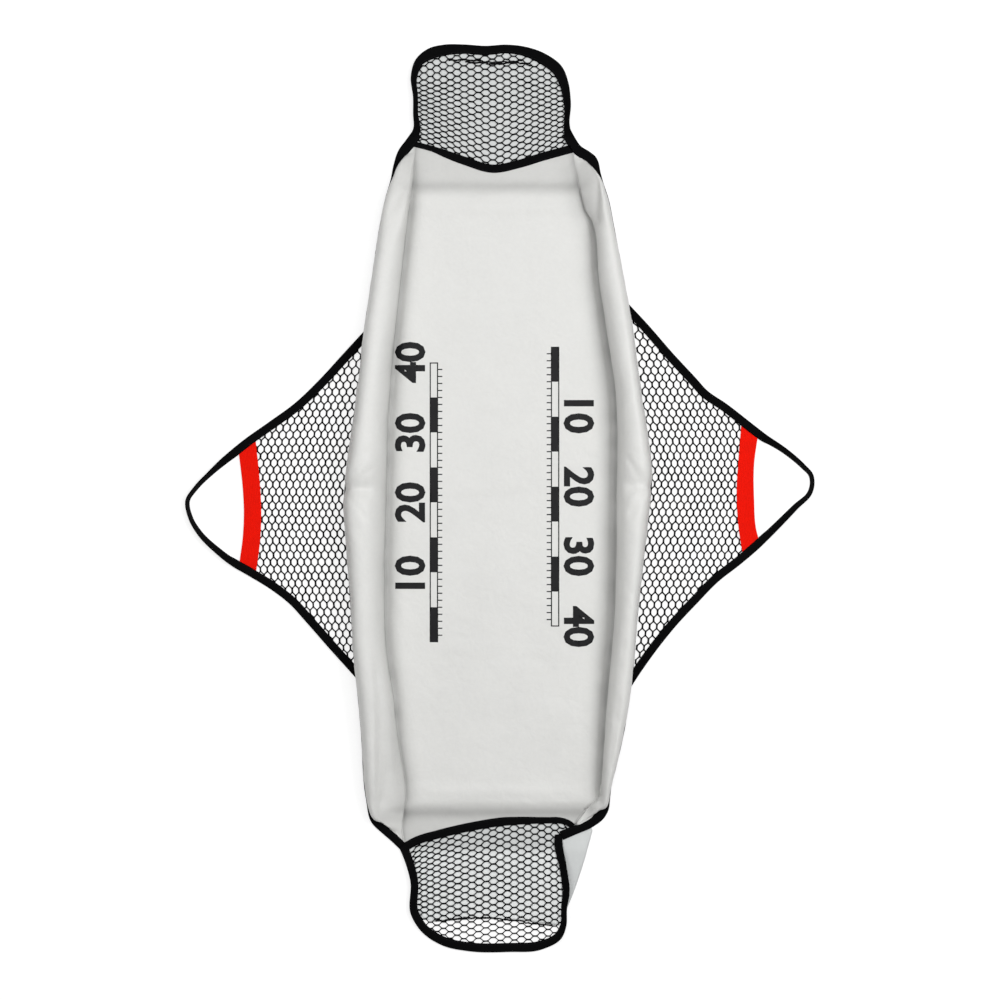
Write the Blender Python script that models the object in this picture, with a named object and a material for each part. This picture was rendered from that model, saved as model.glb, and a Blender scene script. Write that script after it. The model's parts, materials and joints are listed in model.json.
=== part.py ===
"""Unhooking mat: a padded bed between two soft side walls, with net flaps and net wings.

The grey liner runs over a thin foam pad and over one foam roll on each side. Black tape is folded
round every edge. A net flap closes each end, and a net wing on each side narrows to a hand loop,
which a red strap crosses. A grey base sheet lies under it all and ends in a tongue under each flap.

Metres, +Z up, +Y towards the head end. The origin is on the ground in the middle of the mat.
"""

import math

import bmesh
import bpy
import numpy as np
from mathutils.geometry import delaunay_2d_cdt

# Materials' thicknesses
SHEET = 0.0008
NET_THICKNESS = 0.0008
TAPE_LEG = 0.0006
TAPE_WIDTH = 0.012
RED_STRAP_THICKNESS = 0.0012
PAD_THICKNESS = 0.006
CLEARANCE = 0.0003
FOAM_CLEARANCE = 0.0015

# Length and width of the bed
HEAD_REACH = 0.528
TAIL_REACH = 0.4966
LEFT_SPREAD = 0.227
RIGHT_SPREAD = 0.220
FLOOR_LEFT = 0.162
FLOOR_RIGHT = 0.163

# Side walls
WALL_HEIGHT = 0.060
HEM = 0.016
BULGE_INSET = 0.0008
HEM_INSET = 0.0045
PUCKER_DEPTH = 0.005
PUCKER_REACH = 0.018

# End flaps
HEAD_FLAP_LENGTH = 0.122
HEAD_FLAP_HALF = 0.115
HEAD_FLAP_SHIFT = -0.013
TAIL_FLAP_LENGTH = 0.1536
TAIL_FLAP_HALF = 0.1216
TAIL_FLAP_SHIFT = -0.0216
TAIL_FOLD_TILT = math.radians(2.8)

# Wings
LEFT_FOLD = 0.2295
RIGHT_FOLD = 0.2225
LEFT_WING_REACH = 0.2206
RIGHT_WING_REACH = 0.2276
WING_SPAN = 0.235
LOOP_TWIST = math.radians(65)

# Netting: the drawn cell stands for about two real ones each way
NET_COLUMN = 0.0232
NET_ROW = 0.0218
STRAND = 0.003
NET_EDGE = 0.0025
CELL_TIP_SHARE = 0.74
LEAST_CELL_SHARE = 0.35

# Edge lines of the bed as (share of the reach along Y, share of the side's spread)
LEFT_EDGE_SHARES = (
    (0.998, 0.549), (0.972, 0.593), (0.942, 0.643), (0.907, 0.670), (0.864, 0.690),
    (0.810, 0.727), (0.734, 0.762), (0.584, 0.814), (0.454, 0.859), (0.311, 0.895),
    (0.137, 0.950), (-0.004, 0.985), (-0.149, 0.966), (-0.431, 0.926), (-0.679, 0.877),
    (-0.869, 0.845), (-0.933, 0.812), (-0.967, 0.738), (-1.002, 0.650),
)
RIGHT_EDGE_SHARES = (
    (0.998, 0.462), (0.961, 0.514), (0.932, 0.599), (0.904, 0.644), (0.864, 0.664),
    (0.810, 0.708), (0.742, 0.741), (0.641, 0.787), (0.530, 0.836), (0.275, 0.923),
    (0.037, 0.988), (-0.059, 0.966), (-0.310, 0.903), (-0.544, 0.855), (-0.679, 0.806),
    (-0.855, 0.725), (-0.921, 0.675), (-0.950, 0.599), (-0.969, 0.501), (-0.985, 0.410),
)

# Creases between the floor and the walls, as shares of the reach and of the floor's half width
LEFT_CREASE_SHARES = (
    (0.957, 0.725), (0.877, 0.751), (0.796, 0.769), (0.712, 0.826), (0.552, 0.878),
    (0.405, 0.928), (0.213, 0.972), (-0.004, 0.990), (-0.235, 1.005), (-0.422, 0.999),
    (-0.541, 0.955), (-0.717, 0.879), (-0.855, 0.822), (-0.995, 0.7425),
)
RIGHT_CREASE_SHARES = (
    (0.948, 0.571), (0.916, 0.655), (0.860, 0.760), (0.780, 0.824), (0.614, 0.848),
    (0.454, 0.922), (0.308, 0.993), (-0.004, 1.002), (-0.408, 1.002), (-0.575, 0.922),
    (-0.717, 0.870), (-0.855, 0.830), (-0.929, 0.685),
)

# The part of each edge line that the liner's hem follows
LEFT_HEM_SHARES = (0.021, 0.998)
RIGHT_HEM_SHARES = (0.026, 0.950)

# End seams as (share of the flap's half width, share of the flap's length), on the net's side
HEAD_SEAM_SHARES = (
    (-0.908, -0.149), (-0.622, -0.221), (-0.311, -0.319), (0.026, -0.410),
    (0.337, -0.355), (0.623, -0.272), (0.959, -0.186),
)
TAIL_SEAM_SHARES = (
    (-0.847, 0.025), (-0.529, -0.068), (-0.105, -0.143), (0.178, -0.180),
    (0.484, -0.198), (0.908, -0.208), (1.075, -0.199),
)
HEAD_TAPE_SHARES = (-0.935, 0.920)
TAIL_TAPE_SHARES = (-0.850, 1.070)

# Free edges of the end flaps and of the tongues, in the same shares
HEAD_RIM_SHARES = (
    (-0.971, 0.003), (-0.971, 0.361), (-1.000, 0.631), (-0.946, 0.812), (-0.771, 0.955),
    (-0.585, 0.998), (-0.336, 1.000), (-0.067, 0.983), (0.200, 0.998), (0.424, 0.974),
    (0.673, 0.893), (0.885, 0.740), (0.972, 0.526), (1.000, 0.309), (0.994, 0.003),
)
TAIL_RIM_SHARES = (
    (-1.000, 0.039), (-0.929, 0.184), (-0.882, 0.324), (-0.875, 0.641), (-0.753, 0.799),
    (-0.494, 0.939), (-0.199, 0.992), (0.284, 1.000), (0.672, 0.976), (0.908, 0.861),
    (0.961, 0.752), (0.970, 0.585), (1.000, 0.445), (0.967, 0.193), (0.914, -0.035),
)
HEAD_TONGUE_SHARES = (
    (-0.880, -0.005), (-0.835, 0.160), (-0.473, 0.807), (-0.020, 0.822), (0.449, 0.807),
    (0.850, 0.160), (0.905, -0.005),
)
TAIL_TONGUE_SHARES = (
    (-0.920, 0.020), (-0.870, 0.180), (-0.611, 0.715), (-0.350, 0.690), (0.150, 0.697),
    (0.872, 0.743), (1.014, 0.501), (1.160, 0.170), (1.273, -0.152),
)

# Wing edges as (share of the wing's reach, share of the wing's span), from head to tail
LEFT_WING_SHARES = (
    (-0.158, 1.021), (-0.021, 0.881), (0.128, 0.728), (0.290, 0.582), (0.459, 0.466),
    (0.641, 0.344), (0.764, 0.247), (0.855, 0.161), (0.946, 0.070), (0.998, -0.006),
    (0.978, -0.107), (0.920, -0.222), (0.800, -0.338), (0.693, -0.417), (0.433, -0.564),
    (0.329, -0.640), (0.219, -0.753), (0.083, -0.899), (-0.099, -1.088),
)
RIGHT_WING_SHARES = (
    (-0.180, 1.197), (-0.053, 1.066), (0.115, 0.881), (0.266, 0.722), (0.317, 0.667),
    (0.451, 0.576), (0.621, 0.448), (0.702, 0.387), (0.828, 0.302), (0.941, 0.204),
    (0.992, 0.137), (1.000, 0.082), (0.985, 0.034), (0.891, -0.067), (0.775, -0.186),
    (0.643, -0.314), (0.539, -0.399), (0.394, -0.509), (0.262, -0.640), (0.130, -0.777),
    (0.023, -0.905), (-0.157, -1.149),
)
LEFT_STRAP_SHARES = ((0.590, 0.400), (0.573, 0.086), (0.564, -0.085), (0.572, -0.250), (0.592, -0.500))
RIGHT_STRAP_SHARES = ((0.590, 0.500), (0.572, 0.210), (0.564, 0.020), (0.576, -0.186), (0.590, -0.400))
RED_STRAP_WIDTH = 0.025
STRAP_OVERLAP = 0.006

# Rows of the liner from head to tail, and what happens along them
ROW_SHARES = (
    0, 0.016, 0.032, 0.050, 0.072, 0.105, 0.150, 0.210, 0.280, 0.350, 0.420, 0.465,
    0.490, 0.515, 0.560, 0.630, 0.700, 0.770, 0.840, 0.895, 0.930, 0.958, 0.980, 1,
)
HEIGHT_SHARES = (
    (0, 0), (0.016, 0), (0.032, 0.18), (0.050, 0.34), (0.072, 0.46), (0.105, 0.57), (0.210, 0.76),
    (0.350, 0.92), (0.500, 1), (0.630, 0.95), (0.770, 0.83), (0.895, 0.60), (0.930, 0.46), (0.958, 0.20),
    (0.980, 0), (1, 0),
)
OVERHANG_SHARES = (
    (0, -0.5), (0.016, -0.4), (0.032, 0.2), (0.050, 0.75), (0.072, 1), (0.895, 1), (0.930, 0.7),
    (0.958, -0.1), (0.980, -0.5), (1, -0.5),
)
PAD_LIFT_SHARES = ((0.050, 0), (0.072, 1), (0.930, 1), (0.958, 0))
PUCKER_SHARE = 0.49
SEAM_FADE_SHARE = 0.25
END_SEAM_SHARE = 0.6

# The wall's section from the crease to its widest point, as (share across, share of its height)
WALL_SHARES = ((0.06, 0.30), (0.16, 0.62), (0.32, 0.87), (0.52, 1), (0.74, 0.94), (0.92, 0.70), (1, 0.42))
UNDERCUT_SHARES = (0.5, 0.16)
FLOOR_SHARES = (0.25, 0.5, 0.75)
PAD_SHARES = (0.03, 0.25, 0.5, 0.75, 0.97)
PAD_MARGIN = 0.003
PAD_ROWS_SHARES = (0.080, 0.915)
FOAM_ROWS_SHARES = (0.105, 0.895)
FOAM_END_SHARE = 0.85

# Counts of points along the tapes
EDGE_POINTS = 30
RIM_POINTS = 20
SEAM_POINTS = 13
BAND_POINTS = 7
LOOP_POINTS = 24

# Heights: base sheet, then tape folded round liner and end nets; the wings lie on the ground
SLOT = max(SHEET, NET_THICKNESS) + 2 * CLEARANCE
TAPE_BOTTOM = SHEET + CLEARANCE
LINER_BOTTOM = TAPE_BOTTOM + TAPE_LEG + CLEARANCE
HEM_TOP = LINER_BOTTOM + SHEET
FLAP_FOLD_HEIGHT = TAPE_BOTTOM + 2 * TAPE_LEG + SLOT + CLEARANCE
PAD_BOTTOM = SHEET + CLEARANCE
FLOOR_TOP = PAD_BOTTOM + PAD_THICKNESS + CLEARANCE + SHEET
WING_NET_BOTTOM = TAPE_LEG + CLEARANCE
WING_FOLD_HEIGHT = 2 * TAPE_LEG + SLOT + CLEARANCE
EDGE_INSET = TAPE_LEG + CLEARANCE + CLEARANCE
FOLD_SIZE = TAPE_LEG / 2
CURVE_STEPS = 12
MOST_MITRE = 2
LEAST_NORMAL = 0.1


def clear_scene():
    for obj in list(bpy.data.objects):
        bpy.data.objects.remove(obj)


def material(name, color, roughness):
    made = bpy.data.materials.new(name)
    made.use_nodes = True
    shader = made.node_tree.nodes["Principled BSDF"]
    shader.inputs["Base Color"].default_value = (*color, 1)
    shader.inputs["Roughness"].default_value = roughness
    shader.inputs["Metallic"].default_value = 0
    return made


def fold_empty(name, location):
    empty = bpy.data.objects.new(name, None)
    empty.location = location
    bpy.context.scene.collection.objects.link(empty)
    return empty


def solid(name, points, faces, look, carrier=None):
    """One closed mesh object. A moving piece hangs from the empty on its fold line."""
    points = np.asarray(points, float).reshape(-1, 3)
    if carrier:
        points = points - np.array(carrier.location)
    mesh = bpy.data.meshes.new(name)
    mesh.from_pydata(points.tolist(), [], [tuple(map(int, face)) for face in faces])
    shape = bmesh.new()
    shape.from_mesh(mesh)
    bmesh.ops.recalc_face_normals(shape, faces=shape.faces)
    shape.to_mesh(mesh)
    shape.free()
    mesh.shade_smooth()
    mesh.set_sharp_from_angle(angle=math.radians(35))
    mesh.materials.append(look)
    obj = bpy.data.objects.new(name, mesh)
    bpy.context.scene.collection.objects.link(obj)
    obj.parent = carrier
    return obj


def smooth(points):
    """A dense curve through the points, whose slopes weigh near neighbours more."""
    points = np.asarray(points, float)
    chord = np.linalg.norm(np.diff(points, axis=0), axis=1)[:, None]
    slope = np.diff(points, axis=0) / chord
    middle = (slope[:-1] * chord[1:] + slope[1:] * chord[:-1]) / (chord[1:] + chord[:-1])
    slope = np.vstack([slope[:1], middle, slope[-1:]])
    t = np.linspace(0, 1, CURVE_STEPS, endpoint=False)[:, None]
    pieces = []
    for a, b, m, n, h in zip(points[:-1], points[1:], slope[:-1], slope[1:], chord):
        start = a * (1 - t) ** 2 * (1 + 2 * t) + m * h * t * (1 - t) ** 2
        pieces.append(start + b * t**2 * (3 - 2 * t) - n * h * t**2 * (1 - t))
    return np.vstack([*pieces, points[-1:]])


def at_shares(line, shares):
    """Points of a line at shares of its length."""
    length = np.concatenate([[0], np.cumsum(np.linalg.norm(np.diff(line, axis=0), axis=1))])
    where = np.asarray(shares) * length[-1]
    return np.column_stack([np.interp(where, length, line[:, k]) for k in range(line.shape[1])])


def evenly(line, count):
    return at_shares(line, np.linspace(0, 1, count))


def mitres(path):
    """For each point, the step to its left that keeps a parallel line at a distance of one."""
    step = np.diff(path, axis=0)
    step = step / np.linalg.norm(step, axis=1)[:, None]
    left = np.column_stack([-step[:, 1], step[:, 0]])
    before = np.vstack([left[:1], left])
    after = np.vstack([left, left[-1:]])
    lengthen = 1 + (before * after).sum(axis=1)
    return (before + after) / np.maximum(lengthen, 2 / MOST_MITRE)[:, None]


def beside(path, distance):
    return path + mitres(path) * distance


def clip(outline, point, normal):
    """The part of a closed outline on the side of a line that its normal points to."""
    outline = np.asarray(outline, float)
    height = (outline - np.asarray(point)) @ np.asarray(normal)
    kept = []
    for a, b, p, q in zip(outline, np.roll(outline, -1, 0), height, np.roll(height, -1)):
        if p >= 0:
            kept.append(a)
        if (p >= 0) != (q >= 0):
            kept.append(a + (b - a) * p / (p - q))
    return np.array(kept).reshape(-1, 2)


def area(outline):
    x, y = outline.T
    return 0.5 * float(x @ np.roll(y, -1) - y @ np.roll(x, -1))


def spaced(outline, least):
    """The outline without points that lie closer than the least spacing."""
    kept = [outline[0]]
    for point in outline[1:]:
        if np.linalg.norm(point - kept[-1]) > least:
            kept.append(point)
    if len(kept) > 1 and np.linalg.norm(kept[0] - kept[-1]) <= least:
        kept.pop()
    return np.array(kept)


def inside(point, outline):
    x, y = outline.T
    x2, y2 = np.roll(x, -1), np.roll(y, -1)
    spans = (y > point[1]) != (y2 > point[1])
    with np.errstate(divide="ignore", invalid="ignore"):
        crossing = x + (point[1] - y) * (x2 - x) / (y2 - y)
    return bool(np.count_nonzero(spans & (crossing > point[0])) % 2)


def plate(name, outline, holes, bottom, thickness, look, carrier=None):
    """A flat plate with holes: its face is split into triangles between all the edges."""
    loops = [outline, *holes]
    starts = np.cumsum([0] + [len(loop) for loop in loops])
    flat = np.vstack(loops)
    edges = []
    for loop, start in zip(loops, starts):
        count = len(loop)
        edges += [(int(start + k), int(start + (k + 1) % count)) for k in range(count)]
    owner = np.repeat(np.arange(len(loops)), [len(loop) for loop in loops])
    places, _, faces, sources, _, _ = delaunay_2d_cdt([tuple(p) for p in flat], edges, [], 0, 0)
    source = np.array([found[0] for found in sources])
    triangles = []
    for face in faces:
        corners = source[list(face)]
        middle = flat[corners].mean(axis=0)
        loop = owner[corners]
        alike = loop[0] == loop[1] == loop[2]
        if alike and inside(middle, loops[loop[0]]) != (loop[0] == 0):
            continue
        triangles.append(corners)
    triangles = np.array(triangles)
    a, b, c = flat[triangles].transpose(1, 0, 2)
    turned = np.cross(b - a, c - a) < 0
    triangles[turned] = triangles[turned][:, ::-1]
    count = len(flat)
    low = np.column_stack([flat, np.full(count, bottom)])
    high = np.column_stack([flat, np.full(count, bottom + thickness)])
    walls = [(a, b, b + count, a + count) for a, b in edges]
    sides = [*triangles[:, ::-1].tolist(), *(triangles + count).tolist(), *walls]
    return solid(name, np.vstack([low, high]), sides, look, carrier)


def net_cells(window, turned):
    """Six-sided gaps in a staggered lattice, each trimmed to the window."""
    column, row = NET_COLUMN, NET_ROW
    tip = column * CELL_TIP_SHARE - STRAND / 2
    flat = column * (1 - CELL_TIP_SHARE)
    half = (row - STRAND) / 2
    cell = np.array([(-tip, 0), (-flat, -half), (flat, -half), (tip, 0), (flat, half), (-flat, half)])
    if turned:
        window = window[:, ::-1]
    low, high = window.min(axis=0), window.max(axis=0)
    cells = []
    for i in range(math.floor(low[0] / column), math.ceil(high[0] / column) + 1):
        for j in range(math.floor(low[1] / row) - 1, math.ceil(high[1] / row) + 1):
            centre = np.array([i * column, (j + (i % 2) / 2) * row])
            shape = window
            for a, b in zip(cell, np.roll(cell, -1, 0)):
                inward = np.array([a[1] - b[1], b[0] - a[0]])
                if len(shape):
                    shape = clip(shape, centre + a, inward)
            if len(shape) < 3:
                continue
            shape = spaced(shape, STRAND / 4)
            if len(shape) > 2 and abs(area(shape)) > LEAST_CELL_SHARE * area(cell):
                cells.append(shape[:, ::-1] if turned else shape)
    return cells


def folded_tape(name, fold, inward, bottom, look, carrier=None, slots=None, turns=None, ends=(None, None)):
    """Tape folded round an edge: a C-shaped section carried along the line of its fold.

    The section turns on edge by the given turns and stays on the same ground.
    """
    count = len(fold)
    slots = np.full(count, SLOT) if slots is None else slots
    turns = np.zeros(count) if turns is None else turns
    steps = mitres(fold) * inward
    heading = np.gradient(fold, axis=0)
    heading = heading / np.linalg.norm(heading, axis=1)[:, None]
    rings = []
    for k in range(count):
        height = 2 * TAPE_LEG + slots[k]
        across = np.array([
            TAPE_WIDTH, FOLD_SIZE, 0, 0, FOLD_SIZE, TAPE_WIDTH,
            TAPE_WIDTH, TAPE_LEG, TAPE_LEG, TAPE_WIDTH,
        ]) - TAPE_WIDTH / 2
        up = np.array([
            0, 0, FOLD_SIZE, height - FOLD_SIZE, height, height,
            height - TAPE_LEG, height - TAPE_LEG, TAPE_LEG, TAPE_LEG,
        ]) - height / 2
        cosine, sine = math.cos(turns[k]), math.sin(turns[k])
        reach = across * cosine + up * sine + TAPE_WIDTH / 2 * cosine + height / 2 * sine
        rise = up * cosine - across * sine + height / 2 * cosine + TAPE_WIDTH / 2 * sine
        plan = fold[k] + steps[k] * reach[:, None]
        if ends[0] is not None and k == 0:
            plan = cut_on(plan, heading[0], *ends[0])
        if ends[1] is not None and k == count - 1:
            plan = cut_on(plan, heading[-1], *ends[1])
        rings.append(np.column_stack([plan, bottom + rise]))
    return loft(name, rings, look, carrier, across)


def cut_on(plan, heading, point, normal):
    """Slides an end section along the tape until it lies on a line."""
    normal = np.asarray(normal, float)
    away = (np.asarray(point) - plan) @ normal / (heading @ normal)
    return plan + away[:, None] * heading


def loft(name, rings, look, carrier=None, across=None):
    """A closed solid through section rings, with both ends filled.

    Given each section point's place across the strip, both faces of a thin leg are split into
    triangles along the same diagonals, so they keep their distance where the strip twists.
    """
    size = len(rings[0])
    faces = [tuple(range(size)), tuple(range(len(rings) * size - 1, (len(rings) - 1) * size - 1, -1))]
    for k in range(len(rings) - 1):
        for j in range(size):
            a, b = k * size + j, k * size + (j + 1) % size
            if across is None:
                faces.append((a, b, b + size, a + size))
            elif across[j] >= across[(j + 1) % size]:
                faces += [(a, b, b + size), (a, b + size, a + size)]
            else:
                faces += [(a, b, a + size), (b, b + size, a + size)]
    return solid(name, np.vstack(rings), faces, look, carrier)


def moved_in(grid, distance):
    """A grid of surface points moved against its normals, with mitred folds."""
    along = grid[1:, 1:] - grid[:-1, :-1]
    across = grid[:-1, 1:] - grid[1:, :-1]
    normal = np.cross(along, across)
    normal = normal / np.linalg.norm(normal, axis=2)[:, :, None]
    normal = np.pad(normal, ((1, 1), (1, 1), (0, 0)), mode="edge")
    near = np.stack([normal[:-1, :-1], normal[1:, :-1], normal[:-1, 1:], normal[1:, 1:]])
    mean = near.sum(axis=0)
    mean = mean / np.maximum(np.linalg.norm(mean, axis=2), LEAST_NORMAL)[:, :, None]
    least = (near * mean).sum(axis=3).min(axis=0)
    return grid - mean * (distance / np.maximum(least, 1 / MOST_MITRE))[:, :, None]


def sheet(name, top, look):
    """A grid of points given a thickness and closed round its edge."""
    rows, columns = top.shape[:2]
    inner = moved_in(top, SHEET)
    inner[:, :, 2] = np.maximum(inner[:, :, 2], top[:, :, 2].min() - SHEET)
    points = np.vstack([top.reshape(-1, 3), inner.reshape(-1, 3)])
    index = np.arange(rows * columns).reshape(rows, columns)
    under = index + rows * columns
    a, b, c, d = index[:-1, :-1], index[:-1, 1:], index[1:, 1:], index[1:, :-1]
    faces = np.stack([a, d, c, b], axis=-1).reshape(-1, 4).tolist()
    shift = rows * columns
    faces += (np.stack([a, b, c, d], axis=-1) + shift).reshape(-1, 4).tolist()
    border = np.concatenate([index[0], index[1:, -1], index[-1, -2::-1], index[-2:0:-1, 0]])
    other = np.concatenate([under[0], under[1:, -1], under[-1, -2::-1], under[-2:0:-1, 0]])
    ring = zip(border, np.roll(border, -1), np.roll(other, -1), other)
    faces += [tuple(int(v) for v in quad) for quad in ring]
    return solid(name, points, faces, look)


def bed_line(shares, spread, side):
    """Points down one side of the bed from its shares of reach and spread."""
    along, across = np.array(shares).T
    reach = np.where(along > 0, HEAD_REACH, TAIL_REACH)
    return np.column_stack([side * spread * across, reach * along])


def head_line(shares):
    across, along = np.array(shares).T
    return np.column_stack([HEAD_FLAP_SHIFT + HEAD_FLAP_HALF * across, HEAD_REACH + HEAD_FLAP_LENGTH * along])


def tail_line(shares):
    across, along = np.array(shares).T
    return np.column_stack([TAIL_FLAP_SHIFT + TAIL_FLAP_HALF * across, -TAIL_REACH - TAIL_FLAP_LENGTH * along])


def wing_line(shares, side, fold, reach):
    across, along = np.array(shares).T
    return np.column_stack([side * (fold + reach * across), WING_SPAN * along])


def along_rows(table, rows):
    where, value = np.array(table).T
    return np.interp(rows, where, value)


LEFT, RIGHT = -1, 1
edges = {
    LEFT: smooth(bed_line(LEFT_EDGE_SHARES, LEFT_SPREAD, LEFT)),
    RIGHT: smooth(bed_line(RIGHT_EDGE_SHARES, RIGHT_SPREAD, RIGHT)),
}
creases = {
    LEFT: smooth(bed_line(LEFT_CREASE_SHARES, FLOOR_LEFT, LEFT)),
    RIGHT: smooth(bed_line(RIGHT_CREASE_SHARES, FLOOR_RIGHT, RIGHT)),
}
hems = {LEFT: LEFT_HEM_SHARES, RIGHT: RIGHT_HEM_SHARES}
head_seam = evenly(smooth(head_line(HEAD_SEAM_SHARES)), SEAM_POINTS)
tail_seam = evenly(smooth(tail_line(TAIL_SEAM_SHARES)), SEAM_POINTS)
head_rim = smooth(head_line(HEAD_RIM_SHARES))
tail_rim = smooth(tail_line(TAIL_RIM_SHARES))
head_fold = np.array([HEAD_FLAP_SHIFT, HEAD_REACH])
tail_fold = np.array([TAIL_FLAP_SHIFT, -TAIL_REACH])
head_out = np.array([0, 1])
tail_out = np.array([math.sin(TAIL_FOLD_TILT), -math.cos(TAIL_FOLD_TILT)])


def wall_rows(side, rows):
    """The liner's columns of one side, from its hem to the crease, for every row."""
    start, end = hems[side]
    line = edges[side]
    line = at_shares(line, start + (end - start) * rows)
    inward = mitres(line) * -side
    edge = line + inward * HEM_INSET
    seam = line + inward * HEM
    crease = at_shares(creases[side], rows)
    seam[[0, -1]] = (edge + (crease - edge) * END_SEAM_SHARE)[[0, -1]]
    outward = -inward / np.linalg.norm(inward, axis=1)[:, None]
    tuck = along_rows(OVERHANG_SHARES, rows) * (HEM - BULGE_INSET)
    widest = seam + outward * tuck[:, None]
    pucker = PUCKER_DEPTH * np.exp(-(((rows - PUCKER_SHARE) * (HEAD_REACH + TAIL_REACH) / PUCKER_REACH) ** 2))
    height = along_rows(HEIGHT_SHARES, rows) * (WALL_HEIGHT - pucker)
    floor = floor_height(rows)
    columns = [np.column_stack([edge, np.full(len(rows), HEM_TOP)])]
    columns.append(np.column_stack([seam, np.full(len(rows), HEM_TOP)]))
    share, up = UNDERCUT_SHARES
    under = seam + outward * (tuck * share)[:, None]
    columns.append(np.column_stack([under, HEM_TOP + height * up]))
    for across, up in WALL_SHARES[::-1]:
        plan = crease + (widest - crease) * across
        columns.append(np.column_stack([plan, floor + (HEM_TOP - floor) * across + height * up]))
    columns.append(np.column_stack([crease, floor]))
    return columns


def floor_height(rows):
    return HEM_TOP + (FLOOR_TOP - HEM_TOP) * along_rows(PAD_LIFT_SHARES, rows)


def floor_column(share, rows):
    """A line down the floor, which bends to meet the slanted end seams."""
    places = np.concatenate([[0], rows, [1]])
    left = at_shares(creases[LEFT], places)
    right = at_shares(creases[RIGHT], places)
    plan = left + (right - left) * share
    head_edge = beside(head_seam, -HEM_INSET)
    tail_edge = beside(tail_seam, HEM_INSET)
    head_gap = np.interp(plan[0, 0], head_edge[:, 0], head_edge[:, 1]) - plan[0, 1]
    tail_gap = np.interp(plan[-1, 0], tail_edge[:, 0], tail_edge[:, 1]) - plan[-1, 1]
    plan = plan[1:-1]
    plan[:, 1] += head_gap * np.clip(1 - rows / SEAM_FADE_SHARE, 0, 1)
    plan[:, 1] += tail_gap * np.clip(1 - (1 - rows) / SEAM_FADE_SHARE, 0, 1)
    return np.column_stack([plan, floor_height(rows)])


def make_liner(look):
    rows = np.array(ROW_SHARES, float)
    left = wall_rows(LEFT, rows)
    right = wall_rows(RIGHT, rows)[::-1]
    middle = [floor_column(share, rows) for share in FLOOR_SHARES]
    top = np.stack([*left, *middle, *right], axis=1)
    sheet("liner", top, look)
    return rows, top, len(left)


def make_wall_foam(name, rows, top, columns, look):
    """A foam roll inside the wall, which keeps its distance from the liner all round."""
    inner = moved_in(top, SHEET + FOAM_CLEARANCE)[:, columns]
    kept = (rows >= FOAM_ROWS_SHARES[0]) & (rows <= FOAM_ROWS_SHARES[1])
    rings = []
    for ring in inner[kept]:
        ring[:, 2] = np.maximum(ring[:, 2], PAD_BOTTOM + CLEARANCE)
        inward = (ring[-1] - ring[0])[:2]
        ring[0, :2] += inward / np.linalg.norm(inward) * FOAM_CLEARANCE
        first, last = ring[0].copy(), ring[-1].copy()
        first[2] = last[2] = PAD_BOTTOM
        rings.append(np.vstack([first, ring, last]))
    for end in (0, -1):
        middle = rings[end].mean(axis=0)
        middle[2] = PAD_BOTTOM
        rings[end] = middle + (rings[end] - middle) * FOAM_END_SHARE
    loft(name, rings, look)


def make_pad(look):
    rows = np.linspace(*PAD_ROWS_SHARES, 12)
    left = at_shares(creases[LEFT], rows)
    right = at_shares(creases[RIGHT], rows)
    lines = [floor_column(share, rows)[:, :2] for share in (0, *PAD_SHARES, 1)]
    lines[0] = lines[0] + (right - left) / np.linalg.norm(right - left, axis=1)[:, None] * PAD_MARGIN
    lines[-1] = lines[-1] - (right - left) / np.linalg.norm(right - left, axis=1)[:, None] * PAD_MARGIN
    plan = np.stack(lines, axis=1)
    height = np.full(plan.shape[:2], PAD_BOTTOM + PAD_THICKNESS)
    height[:, [0, -1]] = PAD_BOTTOM + PAD_THICKNESS / 2
    height[[0, -1]] = PAD_BOTTOM + PAD_THICKNESS / 2
    rings = []
    for line, level in zip(plan, height):
        over = np.column_stack([line, level])
        under = np.column_stack([line, np.full(len(line), PAD_BOTTOM)])[::-1]
        rings.append(np.vstack([over, under]))
    loft("floor_pad", rings, look)


def make_base(look):
    left = evenly(beside(edges[LEFT], EDGE_INSET), EDGE_POINTS)
    right = beside(edges[RIGHT], -EDGE_INSET)
    right = at_shares(right, np.linspace(0, RIGHT_HEM_SHARES[1], EDGE_POINTS))
    tail = tail_line(TAIL_TONGUE_SHARES)
    head = head_line(HEAD_TONGUE_SHARES)
    outline = np.vstack([left[1:-1], tail, right[::-1][:-1], head[::-1]])
    plate("base_sheet", outline, [], 0, SHEET, look)


def make_side_binding(name, side, look):
    fold = evenly(edges[side], EDGE_POINTS)
    start = head_fold - head_out * CLEARANCE
    folded_tape(name, fold, -side, TAPE_BOTTOM, look, ends=((start, head_out), None))


def make_seam_binding(name, seam, shares, half, shift, inward, look):
    low, high = (shift + half * share for share in shares)
    kept = seam[(seam[:, 0] > low) & (seam[:, 0] < high)]
    first, last = ((x, np.interp(x, seam[:, 0], seam[:, 1])) for x in (low, high))
    fold = spaced(np.vstack([first, kept, last]), CLEARANCE)
    folded_tape(name, fold, inward, TAPE_BOTTOM, look)


def make_flap(end, rim, fold, out, carrier, net_look, tape_look):
    """One end flap: its net on the far side of the fold line, and the tape round its rim."""
    start = fold + out * CLEARANCE
    line = evenly(rim, RIM_POINTS)
    inward = -1 if end == "head" else 1
    folded_tape(f"{end}_rim_binding", line, inward, TAPE_BOTTOM, tape_look, carrier,
                ends=((start, out), (start, out)))
    outline = clip(stretched(beside(line, inward * EDGE_INSET), fold, out), start, out)
    window = clip(stretched(beside(line, inward * (TAPE_WIDTH + CLEARANCE)), fold, out), fold + out * NET_EDGE, out)
    plate(f"{end}_net", outline, net_cells(window, False), LINER_BOTTOM, NET_THICKNESS, net_look, carrier)


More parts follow.
